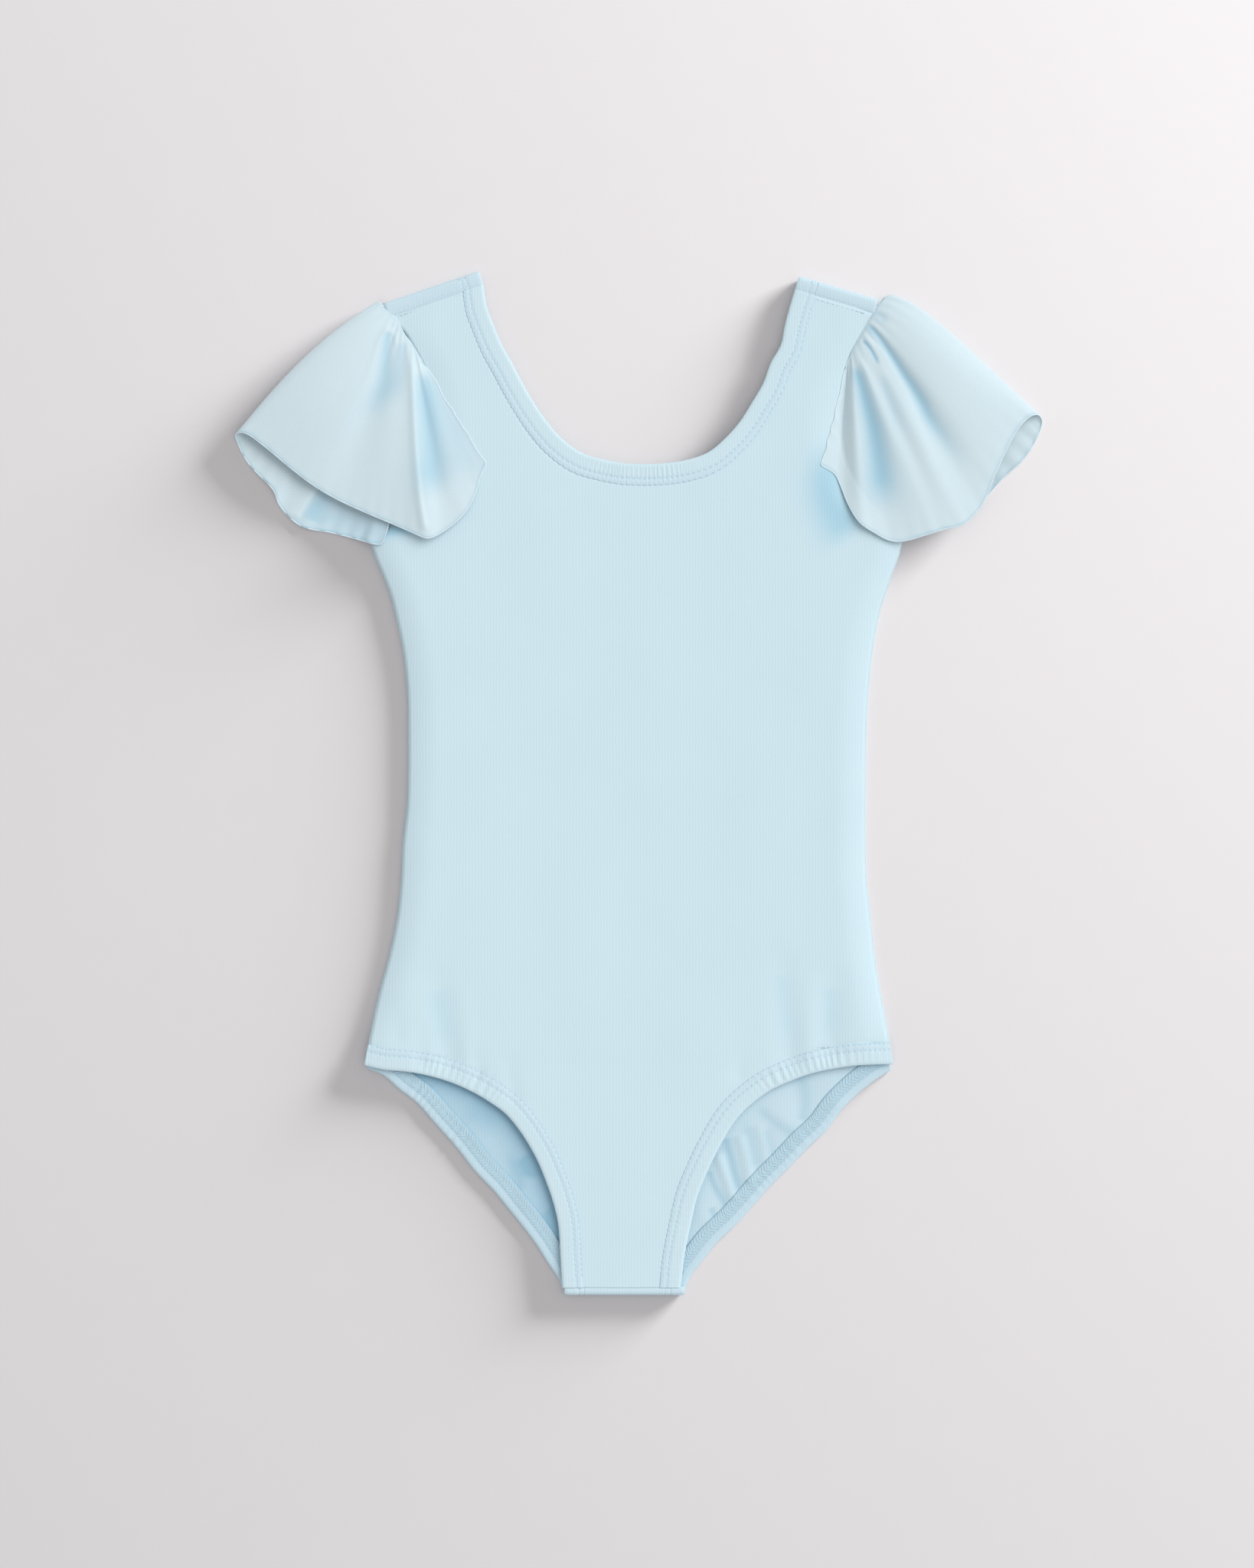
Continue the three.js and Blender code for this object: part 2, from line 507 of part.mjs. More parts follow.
function backPanel() {
	const grid = new ClothGrid(true);
	const { rings, last } = fillPanel(grid, panelRows(backNeck, backLeg, SHOULDER_FOOT), backLift);
	const carryOn = (start, rows, turned) => rows.reduce((previous, row) => {
		const next = grid.addRow(row);
		if (turned) grid.join(next, previous); else grid.join(previous, next);
		return next;
	}, start);
	for (const side of ['left', 'right']) {
		const start = rings.map((ring) => ring[side === 'left' ? 0 : ring.length - 1]);
		carryOn(start, shoulderRoll(start.map((i) => grid.points[i]), side), side === 'right');
	}
	carryOn(last, rollRows(last.map((i) => grid.points[i]), flat(0, -1), CROTCH_ROLL, CROTCH_TURN), false);
	return grid.wall(PANEL_HALF_WALL, PANEL_HALF_WALL);
}

// Turned elastic hems

// A ripple that is up on one step and down on the next, inside the gathered stretch.
function gather(step, t, from, to) {
	return t > from && t < to ? (step % 2 ? -1 : 1) * GATHER_HEIGHT : 0;
}

// Steps along an edge: one on each crest and each trough of its gathers, and few elsewhere.
function hemSteps(length, count, from, to) {
	const waves = Math.round(length * (to - from) / GATHER_PITCH);
	const plain = steps(count).filter((t) => t <= from || t >= to);
	const gathered = steps(waves * 2).map((t) => from + (to - from) * t).slice(1, -1);
	return [...plain, ...gathered].sort((a, b) => a - b);
}

function hemRow(edge, section, t, lift) {
	const start = edge.curve.getPointAt(t);
	const into = inward(edge, t);
	return section.map(({ across }) => {
		const point = start.clone().addScaledVector(into, across);
		return point.setZ(lift(point.x, point.y));
	});
}

// The back leg's hems turn up at the crotch with the back panel.
function hemBand(edge, section, lift, { count, from, to, outside, flip }) {
	const grid = new ClothGrid(flip);
	const outer = [], inner = [];
	const rows = hemSteps(edge.curve.getLength(), count, from, to).map((t, step) =>
		({ points: hemRow(edge, section, t, lift), ripple: gather(step, t, from, to) }));
	if (!outside) {
		const turned = rollRows(rows[rows.length - 1].points, flat(0, -1), CROTCH_ROLL, CROTCH_TURN);
		rows.push(...turned.map((points) => ({ points, ripple: 0 })));
	}
	rows.reduce((previous, { points, ripple }) => {
		const row = grid.addRow(points);
		for (const at of section) {
			const shown = at.across > 0 && at.across < HEM_WIDTH - 1 ? ripple : 0;
			outer.push(at.outer + (outside ? shown : 0));
			inner.push(at.inner + (outside ? 0 : shown));
		}
		if (previous) grid.join(previous, row);
		return row;
	}, null);
	return grid.wall(outer, inner);
}

// The back neck's hem lies between the panels and follows the shoulder rolls to the front.
function backNeckHem() {
	const grid = new ClothGrid(false);
	const rest = () => BACK_REST;
	const rows = steps(STEPS.neckHem).map((t) => hemRow(backNeck, BACK_HEM_SECTION, t, rest));
	const all = [
		...shoulderRoll(rows[0], 'left').reverse(), ...rows, ...shoulderRoll(rows[rows.length - 1], 'right'),
	];
	all.reduce((previous, points) => {
		const row = grid.addRow(points);
		if (previous) grid.join(previous, row);
		return row;
	}, null);
	const column = (name) => all.flatMap(() => BACK_HEM_SECTION.map((at) => at[name]));
	return grid.wall(column('outer'), column('inner'));
}

// Flutter sleeves

// A point on one fold line, t = 0 at the armhole seam and 1 at the rolled hem.
function foldPoint(fold, t, side) {
	const outward = side === 'left' ? -1 : 1;
	const point = mix(new THREE.Vector3(fold.seamX, fold.seamY, fold.seamZ),
		new THREE.Vector3(fold.hemX, fold.hemY, fold.hemZ), t);
	const swell = fold.swell * Math.sin(Math.PI * t ** SWELL_SKEW[side]);
	point.x += outward * swell * 0.65;
	point.y += swell * 0.76;
	point.z += fold.bow * Math.sin(Math.PI * t);
	return point;
}

// Where a sleeve lies on the table its rolled hem stands up, and elsewhere it is even.
function rolledHem(point) {
	const outer = point.z < ROLLED_HEM_HALF_WALL * 2 ? SLEEVE_HALF_WALL : ROLLED_HEM_HALF_WALL;
	return { outer, inner: 2 * ROLLED_HEM_HALF_WALL - outer };
}

function flutterSleeve(folds, side) {
	const grid = new ClothGrid(side === 'right');
	const outer = [], inner = [];
	const between = (folds.length - 1) * STEPS.betweenFolds;
	steps(STEPS.sleeveAlong).reduce((previous, t) => {
		const line = smoothCurve(folds.map((fold) => foldPoint(fold, t, side)));
		const points = line.getPoints(between);
		for (const point of points) {
			point.z = Math.max(point.z, SLEEVE_HALF_WALL);
			const wall = t === 1 ? rolledHem(point) : { outer: SLEEVE_HALF_WALL, inner: SLEEVE_HALF_WALL };
			outer.push(wall.outer);
			inner.push(wall.inner);
		}
		const row = grid.addRow(points);
		if (previous) grid.join(row, previous);
		return row;
	}, null);
	return grid.wall(outer, inner);
}

// Assembly

function piece(name, geometry, finish) {
	const mesh = new THREE.Mesh(geometry, new THREE.MeshStandardMaterial(FINISH[finish]));
	mesh.name = name;
	return mesh;
}

const GATHERS = {
	frontNeck: { count: STEPS.neckHem * 2, from: 0.4, to: 0.6, outside: true },
	frontLeg: { count: STEPS.legHem, from: 0.3, to: 0.62, outside: true },
	backLeg: { count: STEPS.legHem, from: 0.25, to: 0.7, outside: false },
};

const leotard = new THREE.Group();
leotard.name = 'dance_leotard';
leotard.add(
	piece('front_panel', frontPanel(), 'knit'),
	piece('back_panel', backPanel(), 'knit'),
	piece('neck_hem_front', hemBand(frontNeck, FRONT_HEM_SECTION, frontLift,
		{ ...GATHERS.frontNeck, flip: true }), 'elastic'),
	piece('neck_hem_back', backNeckHem(), 'elastic'),
	piece('sleeve_left', flutterSleeve(LEFT_SLEEVE, 'left'), 'sheer'),
	piece('sleeve_right', flutterSleeve(RIGHT_SLEEVE, 'right'), 'sheer'),
);
for (const side of ['left', 'right']) {
	leotard.add(
		piece(`leg_hem_front_${side}`, hemBand(frontLeg[side], FRONT_HEM_SECTION, frontLift,
			{ ...GATHERS.frontLeg, flip: side === 'right' }), 'elastic'),
		piece(`leg_hem_back_${side}`, hemBand(backLeg[side], BACK_HEM_SECTION, backLift,
			{ ...GATHERS.backLeg, flip: side === 'left' }), 'elastic'),
	);
}
leotard.position.set(-ORIGIN.x, -ORIGIN.y, 0);

export default leotard;
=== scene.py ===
"""A child's dance leotard in fine rib knit with sheer flutter sleeves, laid flat, face up.

Tables and sizes are in millimetres, with +X to the right as seen from above, +Y towards
the shoulders and +Z up from the surface that the leotard lies on. Every cloth is a wall
around a grid of points: its outer face is the one that shows when the leotard is worn.
"""

import logging
import math
from dataclasses import dataclass, field
from enum import Enum

import bpy
import numpy as np
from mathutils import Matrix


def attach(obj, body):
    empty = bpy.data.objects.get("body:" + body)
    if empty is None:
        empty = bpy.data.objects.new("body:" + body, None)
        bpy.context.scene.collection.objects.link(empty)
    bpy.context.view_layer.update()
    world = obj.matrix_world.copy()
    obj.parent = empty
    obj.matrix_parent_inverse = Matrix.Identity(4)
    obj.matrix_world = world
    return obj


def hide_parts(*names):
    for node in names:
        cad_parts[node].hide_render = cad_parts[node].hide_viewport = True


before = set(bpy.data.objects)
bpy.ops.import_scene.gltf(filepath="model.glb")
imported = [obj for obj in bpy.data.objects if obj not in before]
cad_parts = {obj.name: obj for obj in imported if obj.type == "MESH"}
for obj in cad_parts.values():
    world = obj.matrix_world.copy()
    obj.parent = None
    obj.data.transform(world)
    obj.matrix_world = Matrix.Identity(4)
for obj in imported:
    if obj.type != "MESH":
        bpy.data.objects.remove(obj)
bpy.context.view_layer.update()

log = logging.getLogger("leotard")

MM = 0.001

# The middle of the laid garment in the tables below, which is the frame's origin.

ORIGIN = np.array([0.47, -0.08, 0.0])

# Driving sizes. A panel's cloth starts HEM_TUCK under the inner edge of its hem, and the
# middle of the back panel's cloth lies BACK_REST above the table.

HEM_WIDTH = 10.5
HEM_TUCK = 0.9
SIDE_ROUNDING = 15.0
BACK_REST = 0.6
NECK_SHARE_BESIDE_ARMHOLE = 0.3

# Stitches: how far their rows are from the hem's edge, and how the thread of one runs on
# from its middle and rises above the cloth, from needle hole to needle hole.

STITCH_ROWS = (7.1, 10.3)
INSIDE_STITCH_ROWS = (4.2,)
STITCH_PITCH = 2.5
STITCH_ALONG = np.array([-0.44, -0.3, 0.0, 0.3, 0.44]) * STITCH_PITCH
STITCH_LIFT = np.array([-0.22, 0.02, 0.1, 0.02, -0.22])
THREAD_RADIUS = 0.17

# Looper thread on a hem's inner side: from where to where its chevrons run from the hem's
# edge, and the distance from one to the next.

LOOPER_START = 4.7
LOOPER_END = 10.2
LOOPER_PITCH = 1.7
LOOPER_RADIUS = 0.15

# Turns of the back panel. A roll is the radius of the fold, a turn is how far the front's
# edge is from it, and the turned strip is level up to "short" of that edge.

SHOULDER_ROLL = 1.7
SHOULDER_TURN = 7.0
SHOULDER_FOOT = SHOULDER_ROLL + BACK_REST
SHOULDER_SHORT = 0.35
CROTCH_ROLL = 1.55
CROTCH_TURN = 1.2
CROTCH_SHORT = 0.15


class Side(Enum):
    """The left and the right side, as seen from above."""

    LEFT = "left"
    RIGHT = "right"

    @property
    def outward(self) -> float:
        """-1 on the left and 1 on the right."""
        return -1.0 if self is Side.LEFT else 1.0


class Table:
    """Rows of sizes with named columns, in millimetres."""

    def __init__(self, columns: str, *rows: tuple[float, ...]) -> None:
        """Names the columns of the rows."""
        self.columns = dict(zip(columns.split(), np.array(rows, float).T))

    def __getitem__(self, name: str) -> np.ndarray:
        """One column."""
        return self.columns[name]

    def points(self, x: str, y: str) -> np.ndarray:
        """Two columns as points in the plane."""
        return np.column_stack([self[x], self[y]])

    def at_height(self, y: np.ndarray, name: str) -> np.ndarray:
        """A column's value at heights y, on a cubic through rows that run down in y.

        Between two rows the value is the Hermite cubic whose slope at a row is the slope
        from the row above it to the row below it.

        Args:
            y: Heights, any shape.
            name: The column to read.

        Returns:
            The values, in y's shape.
        """
        rows, value = self["y"], self[name]
        y = np.clip(y, rows[-1], rows[0])
        i = np.clip(np.searchsorted(-rows, -y, side="right") - 1, 0, len(rows) - 2)
        before, after = np.maximum(i - 1, 0), np.minimum(i + 2, len(rows) - 1)
        here = (value[i + 1] - value[before]) / (rows[i + 1] - rows[before])
        beyond = (value[after] - value[i]) / (rows[after] - rows[i])
        span = rows[i + 1] - rows[i]
        t = (y - rows[i]) / span
        return (value[i] * (1 + 2 * t) * (1 - t) ** 2 + here * span * t * (1 - t) ** 2
                + value[i + 1] * t * t * (3 - 2 * t) + beyond * span * t * t * (t - 1))


# Outline of the panels below the shoulder seams: the x of the left and the right edge.

FRONT_NECK = Table(
    "y left right",
    (233.5, -74, 74.5), (224, -70.5, 72), (214.5, -66.5, 70), (205.5, -61.5, 65),
    (196, -56.5, 61.5), (186.5, -51, 56), (177, -44.5, 50), (169, -37.5, 43),
    (162, -28, 34.5), (158.5, -17, 25), (156.5, -5.5, 12),
)

BACK_NECK = Table(
    "y left right",
    (233.5, -79.5, 80), (214.5, -80, 80.5), (197, -79, 79.5), (181, -76, 76.5),
    (167, -69.5, 70), (155.5, -59, 59.5), (147.5, -45, 46), (142.5, -28, 29),
    (140.5, -9, 10),
)

ARMHOLE = Table(
    "y left right",
    (222, -115, 111), (214, -110, 106.5), (203.5, -104.5, 101.5), (188.5, -100.5, 98.5),
    (173.5, -98.5, 97), (158.5, -100.5, 99), (143.5, -107, 106), (132, -117.5, 116),
    (124.5, -126, 124.5), (120, -131.5, 130),
)

SIDE = Table(
    "y left right",
    (120, -131.5, 130), (111.5, -129, 128), (102, -125, 124.5), (93, -121.5, 121.5),
    (83.5, -119, 118.5), (64.5, -115, 115), (46, -113, 113), (27, -112.5, 112),
    (-10.5, -113, 111.5), (-29, -115, 111.5), (-48, -116, 112), (-66.5, -118, 114),
    (-85.5, -122, 116), (-104, -127, 119), (-123, -131, 122.5), (-138.5, -134, 125),
)

# Edges of the leg openings, from the hip corner to the crotch.

FRONT_LEG = Table(
    "left_x left_y right_x right_y",
    (-134, -138.5, 125, -138), (-125, -140.5, 117, -138), (-113.5, -141.5, 107.5, -138.5),
    (-102.5, -143.5, 96.5, -140), (-91, -147, 85, -142.5), (-80, -152, 74, -146.5),
    (-72.5, -156.5, 64.5, -151), (-65, -162, 54.5, -158.5), (-57.5, -171, 47.5, -166),
    (-50, -183.5, 40, -178.5), (-45.5, -194, 33.5, -192), (-41.5, -205.5, 29, -203.5),
    (-39, -216.5, 26, -216.5), (-38, -231.5, 23, -231.5), (-37, -247.5, 21, -247.5),
)

BACK_LEG = Table(
    "left_x left_y right_x right_y",
    (-133, -140, 124, -141), (-125, -143.5, 115, -147), (-117.5, -150, 107.5, -153),
    (-108, -157.5, 100, -160.5), (-100.5, -166, 92.5, -170.5), (-89, -179, 83.5, -179),
    (-80, -190.5, 74.5, -188.5), (-70.5, -200.5, 65, -198), (-64, -208.5, 57, -207),
    (-57.5, -216.5, 48.5, -216.5), (-50, -226.5, 38.5, -226), (-44, -236, 31, -235.5),
    (-39.5, -242.5, 26, -242), (-36, -249, 23, -249),
)

# Shoulder folds, where the back panel turns over to the front.

SHOULDERS = {
    Side.LEFT: {"neck": (-78.0, 251.0), "arm": (-125.0, 235.0)},
    Side.RIGHT: {"neck": (79.0, 248.5), "arm": (118.0, 237.0)},
}

# Height of the front panel's middle above the table, at its side seam and away from it.

FRONT_HEIGHT = Table(
    "y seam body",
    (245, 4.0, 4.0), (215, 3.4, 4.4), (160, 2.3, 4.7), (120, 1.7, 4.7), (0, 1.6, 4.7),
    (-105, 1.6, 4.9), (-128, 3.2, 4.8), (-140, 3.9, 4.6), (-205, 4.4, 4.4),
    (-235, 4.0, 4.0), (-248, 3.7, 3.7),
)

# Soft creases that run up from the leg elastic. A depth is a trough, and a negative one is
# a ridge.

FRONT_CREASES = Table(
    "x y to_x to_y width depth",
    (-98, -98, -93, -134, 7, 1.2), (71, -90, 75, -134, 7, 1.1), (95, -97, 94, -129, 7, 1.2),
    (-119, -111, -118, -124, 4, 0.5), (-107, -120, -106, -137, 4, 0.6),
    (-80, -130, -78, -144, 4, 0.6), (-63, -137, -61, -154, 4, 0.5),
    (120, -114, 119, -129, 4, 0.6), (51, -133, 50, -143, 4, 0.4),
    (-86, -104, -83, -138, 5, -0.4), (84, -100, 84, -136, 5, -0.45),
)

BACK_RIDGES = Table(
    "x y to_x to_y width depth",
    (-84, -158, -76, -176, 6, -0.5), (-58, -186, -54, -206, 5, -0.5),
    (-104, -150, -98, -160, 5, -0.3), (92, -146, 96, -156, 6, -0.5),
    (66, -152, 72, -166, 8, -0.6), (30, -200, 33, -214, 5, -0.5),
)

# How far the shown and the hidden face of a turned hem stand off the middle of the cloth,
# and how much painted shade darkens its colour, most at the stitch rows and the inner edge,
# at distances across it from its edge.

FRONT_HEM = Table(
    "across shown hidden deeper",
    (0, 0.9, 1.1, 0), (5.6, 0.95, 1.2, 0), (6.4, 0.9, 1.2, 0.05), (7.1, 0.7, 1.1, 0.25),
    (7.8, 0.86, 1.1, 0.1), (8.7, 0.9, 1.1, 0.08), (9.6, 0.82, 1.0, 0.1),
    (10.3, 0.62, 1.0, 0.25), (10.7, 0.55, 0.9, 0.1),
)

BACK_HEM = Table(
    "across shown hidden deeper",
    (0, 1.1, 0.6, 0.1), (3.7, 1.15, 0.6, 0.1), (4.2, 0.98, 0.6, 0.6), (4.7, 1.1, 0.6, 0.45),
    (7.1, 1.1, 0.6, 0.4), (8.7, 1.15, 0.6, 0.4), (9.9, 1.1, 0.6, 0.45), (10.4, 1.0, 0.6, 0.7),
    (10.7, 0.75, 0.6, 0.9),
)

# Folds of the flutter sleeves, from the loose front edge over the outer fold to the loose
# back edge. Each fold runs from the armhole seam to the rolled hem. "bow" lifts its middle
# and "swell" moves its middle sideways, away from the body.

FOLD_COLUMNS = "seam_x seam_y seam_z hem_x hem_y hem_z bow swell"

LEFT_SLEEVE = Table(
    FOLD_COLUMNS,
    (-105.5, 205.5, 5.9, -74.5, 156.5, 7.4, 0.8, 0),
    (-106, 207, 5.9, -77, 150.5, 6.9, 0.8, 0),
    (-107.5, 209.5, 5.8, -81, 138, 7.5, 1.2, 0),
    (-108.5, 211.5, 5.7, -87, 129.5, 7.7, 1, 0),
    (-109.5, 213, 5.7, -94.5, 123.5, 6.9, 0.2, 0),
    (-111, 215.5, 5.6, -102.5, 119.5, 11, 2.6, 0),
    (-112.5, 217.5, 5.5, -108, 121.5, 9.4, 2.6, 0),
    (-114, 219.5, 5.4, -117, 125.5, 7.8, 2.6, 0),
    (-115.5, 222, 5.4, -130, 131, 7.2, 3, 0),
    (-117, 225, 5.3, -146.5, 138.5, 5, 1.2, 0),
    (-119, 228, 5.3, -158.5, 145.5, 6.2, 5, 0.5),
    (-121, 230.5, 5.3, -171, 155, 6.8, 4.6, 1.5),
    (-123, 232.5, 5.3, -183, 165, 6.4, 4.4, 2.5),
    (-125.5, 234.5, 5.1, -192.5, 171.5, 5.4, 3, 3.6),
    (-127.6, 235.5, 3, -197, 171, 3, 1.4, 4.4),
    (-126.2, 233.2, 0.6, -196.5, 167.5, 0.6, 0, 3.4),
    (-123.2, 230.4, 0.5, -191, 156.5, 0.5, 0, 1.5),
    (-119.6, 225.8, 0.5, -178.5, 143.5, 1.4, 0.3, 0.5),
    (-117.2, 222, 0.5, -176, 136.5, 0.5, 0, 0),
    (-114, 217, 0.5, -165.5, 126, 1.1, 0.2, 0),
    (-109.4, 209, 0.5, -151, 123, 0.5, 0, 0),
    (-105.4, 200.5, 0.5, -137.5, 119.5, 1.8, 0.2, 0),
    (-103.6, 194.5, 0.5, -132, 117.8, 4.1, 0.2, 0),
    (-102.3, 188, 0.6, -125.5, 117, 4.8, 0.3, 0),
    (-101.4, 180, 0.8, -122.5, 126, 4.8, 0.3, 0),
)

RIGHT_SLEEVE = Table(
    FOLD_COLUMNS,
    (102, 203.5, 5.6, 90, 155.5, 6.9, 0.8, 1.5),
    (102.3, 204.7, 5.6, 96.5, 151.5, 6.8, 0.8, 1.5),
    (102.8, 206, 5.6, 99.5, 145.5, 7.2, 1, 0.5),
    (103.4, 207.4, 5.6, 103, 136.5, 8.6, 1.2, 0),
    (104, 208.8, 5.6, 108.5, 127.5, 10.6, 2.4, 0),
    (104.7, 210.5, 5.5, 115, 123, 7.8, 1, 0),
    (105.5, 212.2, 5.5, 126, 118, 5.2, 0.2, 0),
    (106.6, 214, 5.4, 143, 122, 7.8, 3.6, 0),
    (108.2, 217, 5.4, 151, 124.5, 6.6, 1.8, 0),
    (109.8, 220, 5.3, 158.5, 126, 7.2, 4.4, 1),
    (111.4, 223, 5.3, 168, 135, 4, 1, 2),
    (113.2, 226.4, 5.3, 175.5, 152.5, 6.8, 5.2, 2),
    (115.2, 230, 5.3, 185.5, 172.5, 6.2, 4.8, 3.5),
    (117.8, 234, 5.2, 192, 179.5, 5, 3, 5.5),
    (120.6, 237.6, 3, 196.5, 180.5, 2.8, 1.4, 6.5),
    (119.3, 235, 0.6, 198.5, 177, 0.6, 0, 5),
    (117, 230.8, 0.5, 195, 167.5, 0.5, 0, 2.5),
    (114.4, 226.2, 0.5, 189, 158.5, 0.9, 0.2, 1),
    (111.8, 221.6, 0.5, 178.5, 149, 0.5, 0, 0),
    (108.4, 215.4, 0.5, 169.5, 139, 0.5, 0, 0),
    (105, 208.6, 0.5, 157, 131.5, 1, 0.2, 0),
    (101.6, 197, 0.5, 143, 127.5, 0.5, 0, 0),
    (99.6, 183, 0.5, 129.5, 127.5, 0.5, 0, 0),
)


# Curves


def smoothstep(x: np.ndarray, start: float, end: float) -> np.ndarray:
    """0 before start and 1 after end, with the cubic 3t^2 - 2t^3 between."""
    t = np.clip((x - start) / (end - start), 0, 1)
    return t * t * (3 - 2 * t)


def unit(vectors: np.ndarray) -> np.ndarray:
    """Vectors scaled to length 1."""
    return vectors / np.maximum(np.linalg.norm(vectors, axis=-1, keepdims=True), 1e-12)


def through(points: np.ndarray, steps: int) -> np.ndarray:
    """A centripetal Catmull-Rom curve through points.

    Each span is a Hermite cubic. Its end slopes come from its neighbours' distances,
    taken to the power of a half, so that close points make no loop.

    Args:
        points: Control points along the first axis. Axes between it and the last hold
            separate curves.
        steps: Steps to a span.

    Returns:
        Points along the first axis, steps to each span and the last point.
    """
    p = np.concatenate([2 * points[:1] - points[1:2], points, 2 * points[-1:] - points[-2:-1]])
    gap = np.maximum(np.linalg.norm(np.diff(p, axis=0), axis=-1, keepdims=True) ** 0.5, 1e-4)
    d0, d1, d2 = gap[:-2], gap[1:-1], gap[2:]
    p0, p1, p2, p3 = p[:-3], p[1:-2], p[2:-1], p[3:]
    m1 = ((p1 - p0) / d0 - (p2 - p0) / (d0 + d1) + (p2 - p1) / d1) * d1
    m2 = ((p2 - p1) / d1 - (p3 - p1) / (d1 + d2) + (p3 - p2) / d2) * d1
    t = (np.arange(steps) / steps).reshape((1, steps) + (1,) * (points.ndim - 1))
    p1, p2, m1, m2 = (a[:, None] for a in (p1, p2, m1, m2))
    spans = ((2 * t**3 - 3 * t**2 + 1) * p1 + (t**3 - 2 * t**2 + t) * m1
             + (3 * t**2 - 2 * t**3) * p2 + (t**3 - t**2) * m2)
    return np.concatenate([spans.reshape((-1,) + points.shape[1:]), points[-1:]])


def run_length(points: np.ndarray) -> np.ndarray:
    """Distance along a line of points from its first one to each."""
    return np.cumsum(np.linalg.norm(np.diff(points, axis=0, prepend=points[:1]), axis=1))


class Curve:
    """A smooth curve in the plane, read by its share of length from 0 to 1."""

    STEPS = 40
    CHORD = 0.003

    def __init__(self, points: np.ndarray) -> None:
        """Runs the curve through points.

        Args:
            points: Points in the plane.
        """
        self.dense = through(np.asarray(points, float), self.STEPS)
        run = run_length(self.dense)
        self.length = float(run[-1])
        self.share = run / run[-1]

    def at(self, t: np.ndarray) -> np.ndarray:
        """Points at shares t, with the coordinates last."""
        t = np.asarray(t, float)
        return np.stack([np.interp(t, self.share, self.dense[:, k]) for k in (0, 1)], -1)

    def tangent(self, t: np.ndarray) -> np.ndarray:
        """Unit directions at shares t."""
        before, after = np.maximum(t - self.CHORD, 0), np.minimum(t + self.CHORD, 1)
        return unit(self.at(after) - self.at(before))

    def beside(self, x: np.ndarray, y: np.ndarray, samples: int = 240) -> tuple[
            np.ndarray, np.ndarray, np.ndarray]:
        """How points lie to the curve.

        The nearest of some samples is found, and then the point's place along the
        direction of the curve there.

        Args:
            x: Places, any shape.
            y: Places, in x's shape.
            samples: How many samples.

        Returns:
            Distances, 1 on the left of the curve's run and -1 on the right, and shares of
            its length, each in x's shape.
        """
        t = np.linspace(0, 1, samples)
        path, run = self.at(t), self.tangent(t)
        dx, dy = x.reshape(-1, 1) - path[:, 0], y.reshape(-1, 1) - path[:, 1]
        nearest = np.argmin(dx * dx + dy * dy, axis=1)
        rows = np.arange(len(nearest))
        dx, dy, run, t = dx[rows, nearest], dy[rows, nearest], run[nearest], t[nearest]
        ahead = dx * run[:, 0] + dy * run[:, 1]
        share = np.clip(t + ahead / self.length, 0, 1)
        ahead = ahead - (share - t) * self.length
        aside = run[:, 0] * dy - run[:, 1] * dx
        away = np.hypot(aside, ahead)
        return tuple(k.reshape(x.shape) for k in (away, np.sign(aside), share))


class Shoulder:
    """A shoulder's fold line, with points measured across it and down from it."""

    def __init__(self, side: Side) -> None:
        """Sets the line.

        Args:
            side: The shoulder's side.
        """
        self.neck, arm = (np.array(SHOULDERS[side][end]) for end in ("neck", "arm"))
        self.width = float(np.linalg.norm(arm - self.neck))
        self.along = (arm - self.neck) / self.width
        away = np.array([-self.along[1], self.along[0]])
        self.away = away if away[1] > 0 else -away

    def point(self, across: float, down: float) -> np.ndarray:
        """The point that far from the neck along the fold and that far below it."""
        return self.neck + self.along * across - self.away * down

    def stitches(self, across: np.ndarray | float, down: np.ndarray | float,
                 level: float) -> np.ndarray:
        """Paths of stitches on the shoulder.

        Args:
            across: Distances from the neck along the fold, stitches by points, or one.
            down: Distances below the fold, in the same way.
            level: Height of the cloth's face.

        Returns:
            Points, stitches by points by 3.
        """
        across, down = np.broadcast_arrays(across, down)
        flat = self.neck + self.along * across[..., None] - self.away * down[..., None]
        return np.dstack([flat, np.broadcast_to(level + STITCH_LIFT, across.shape)])


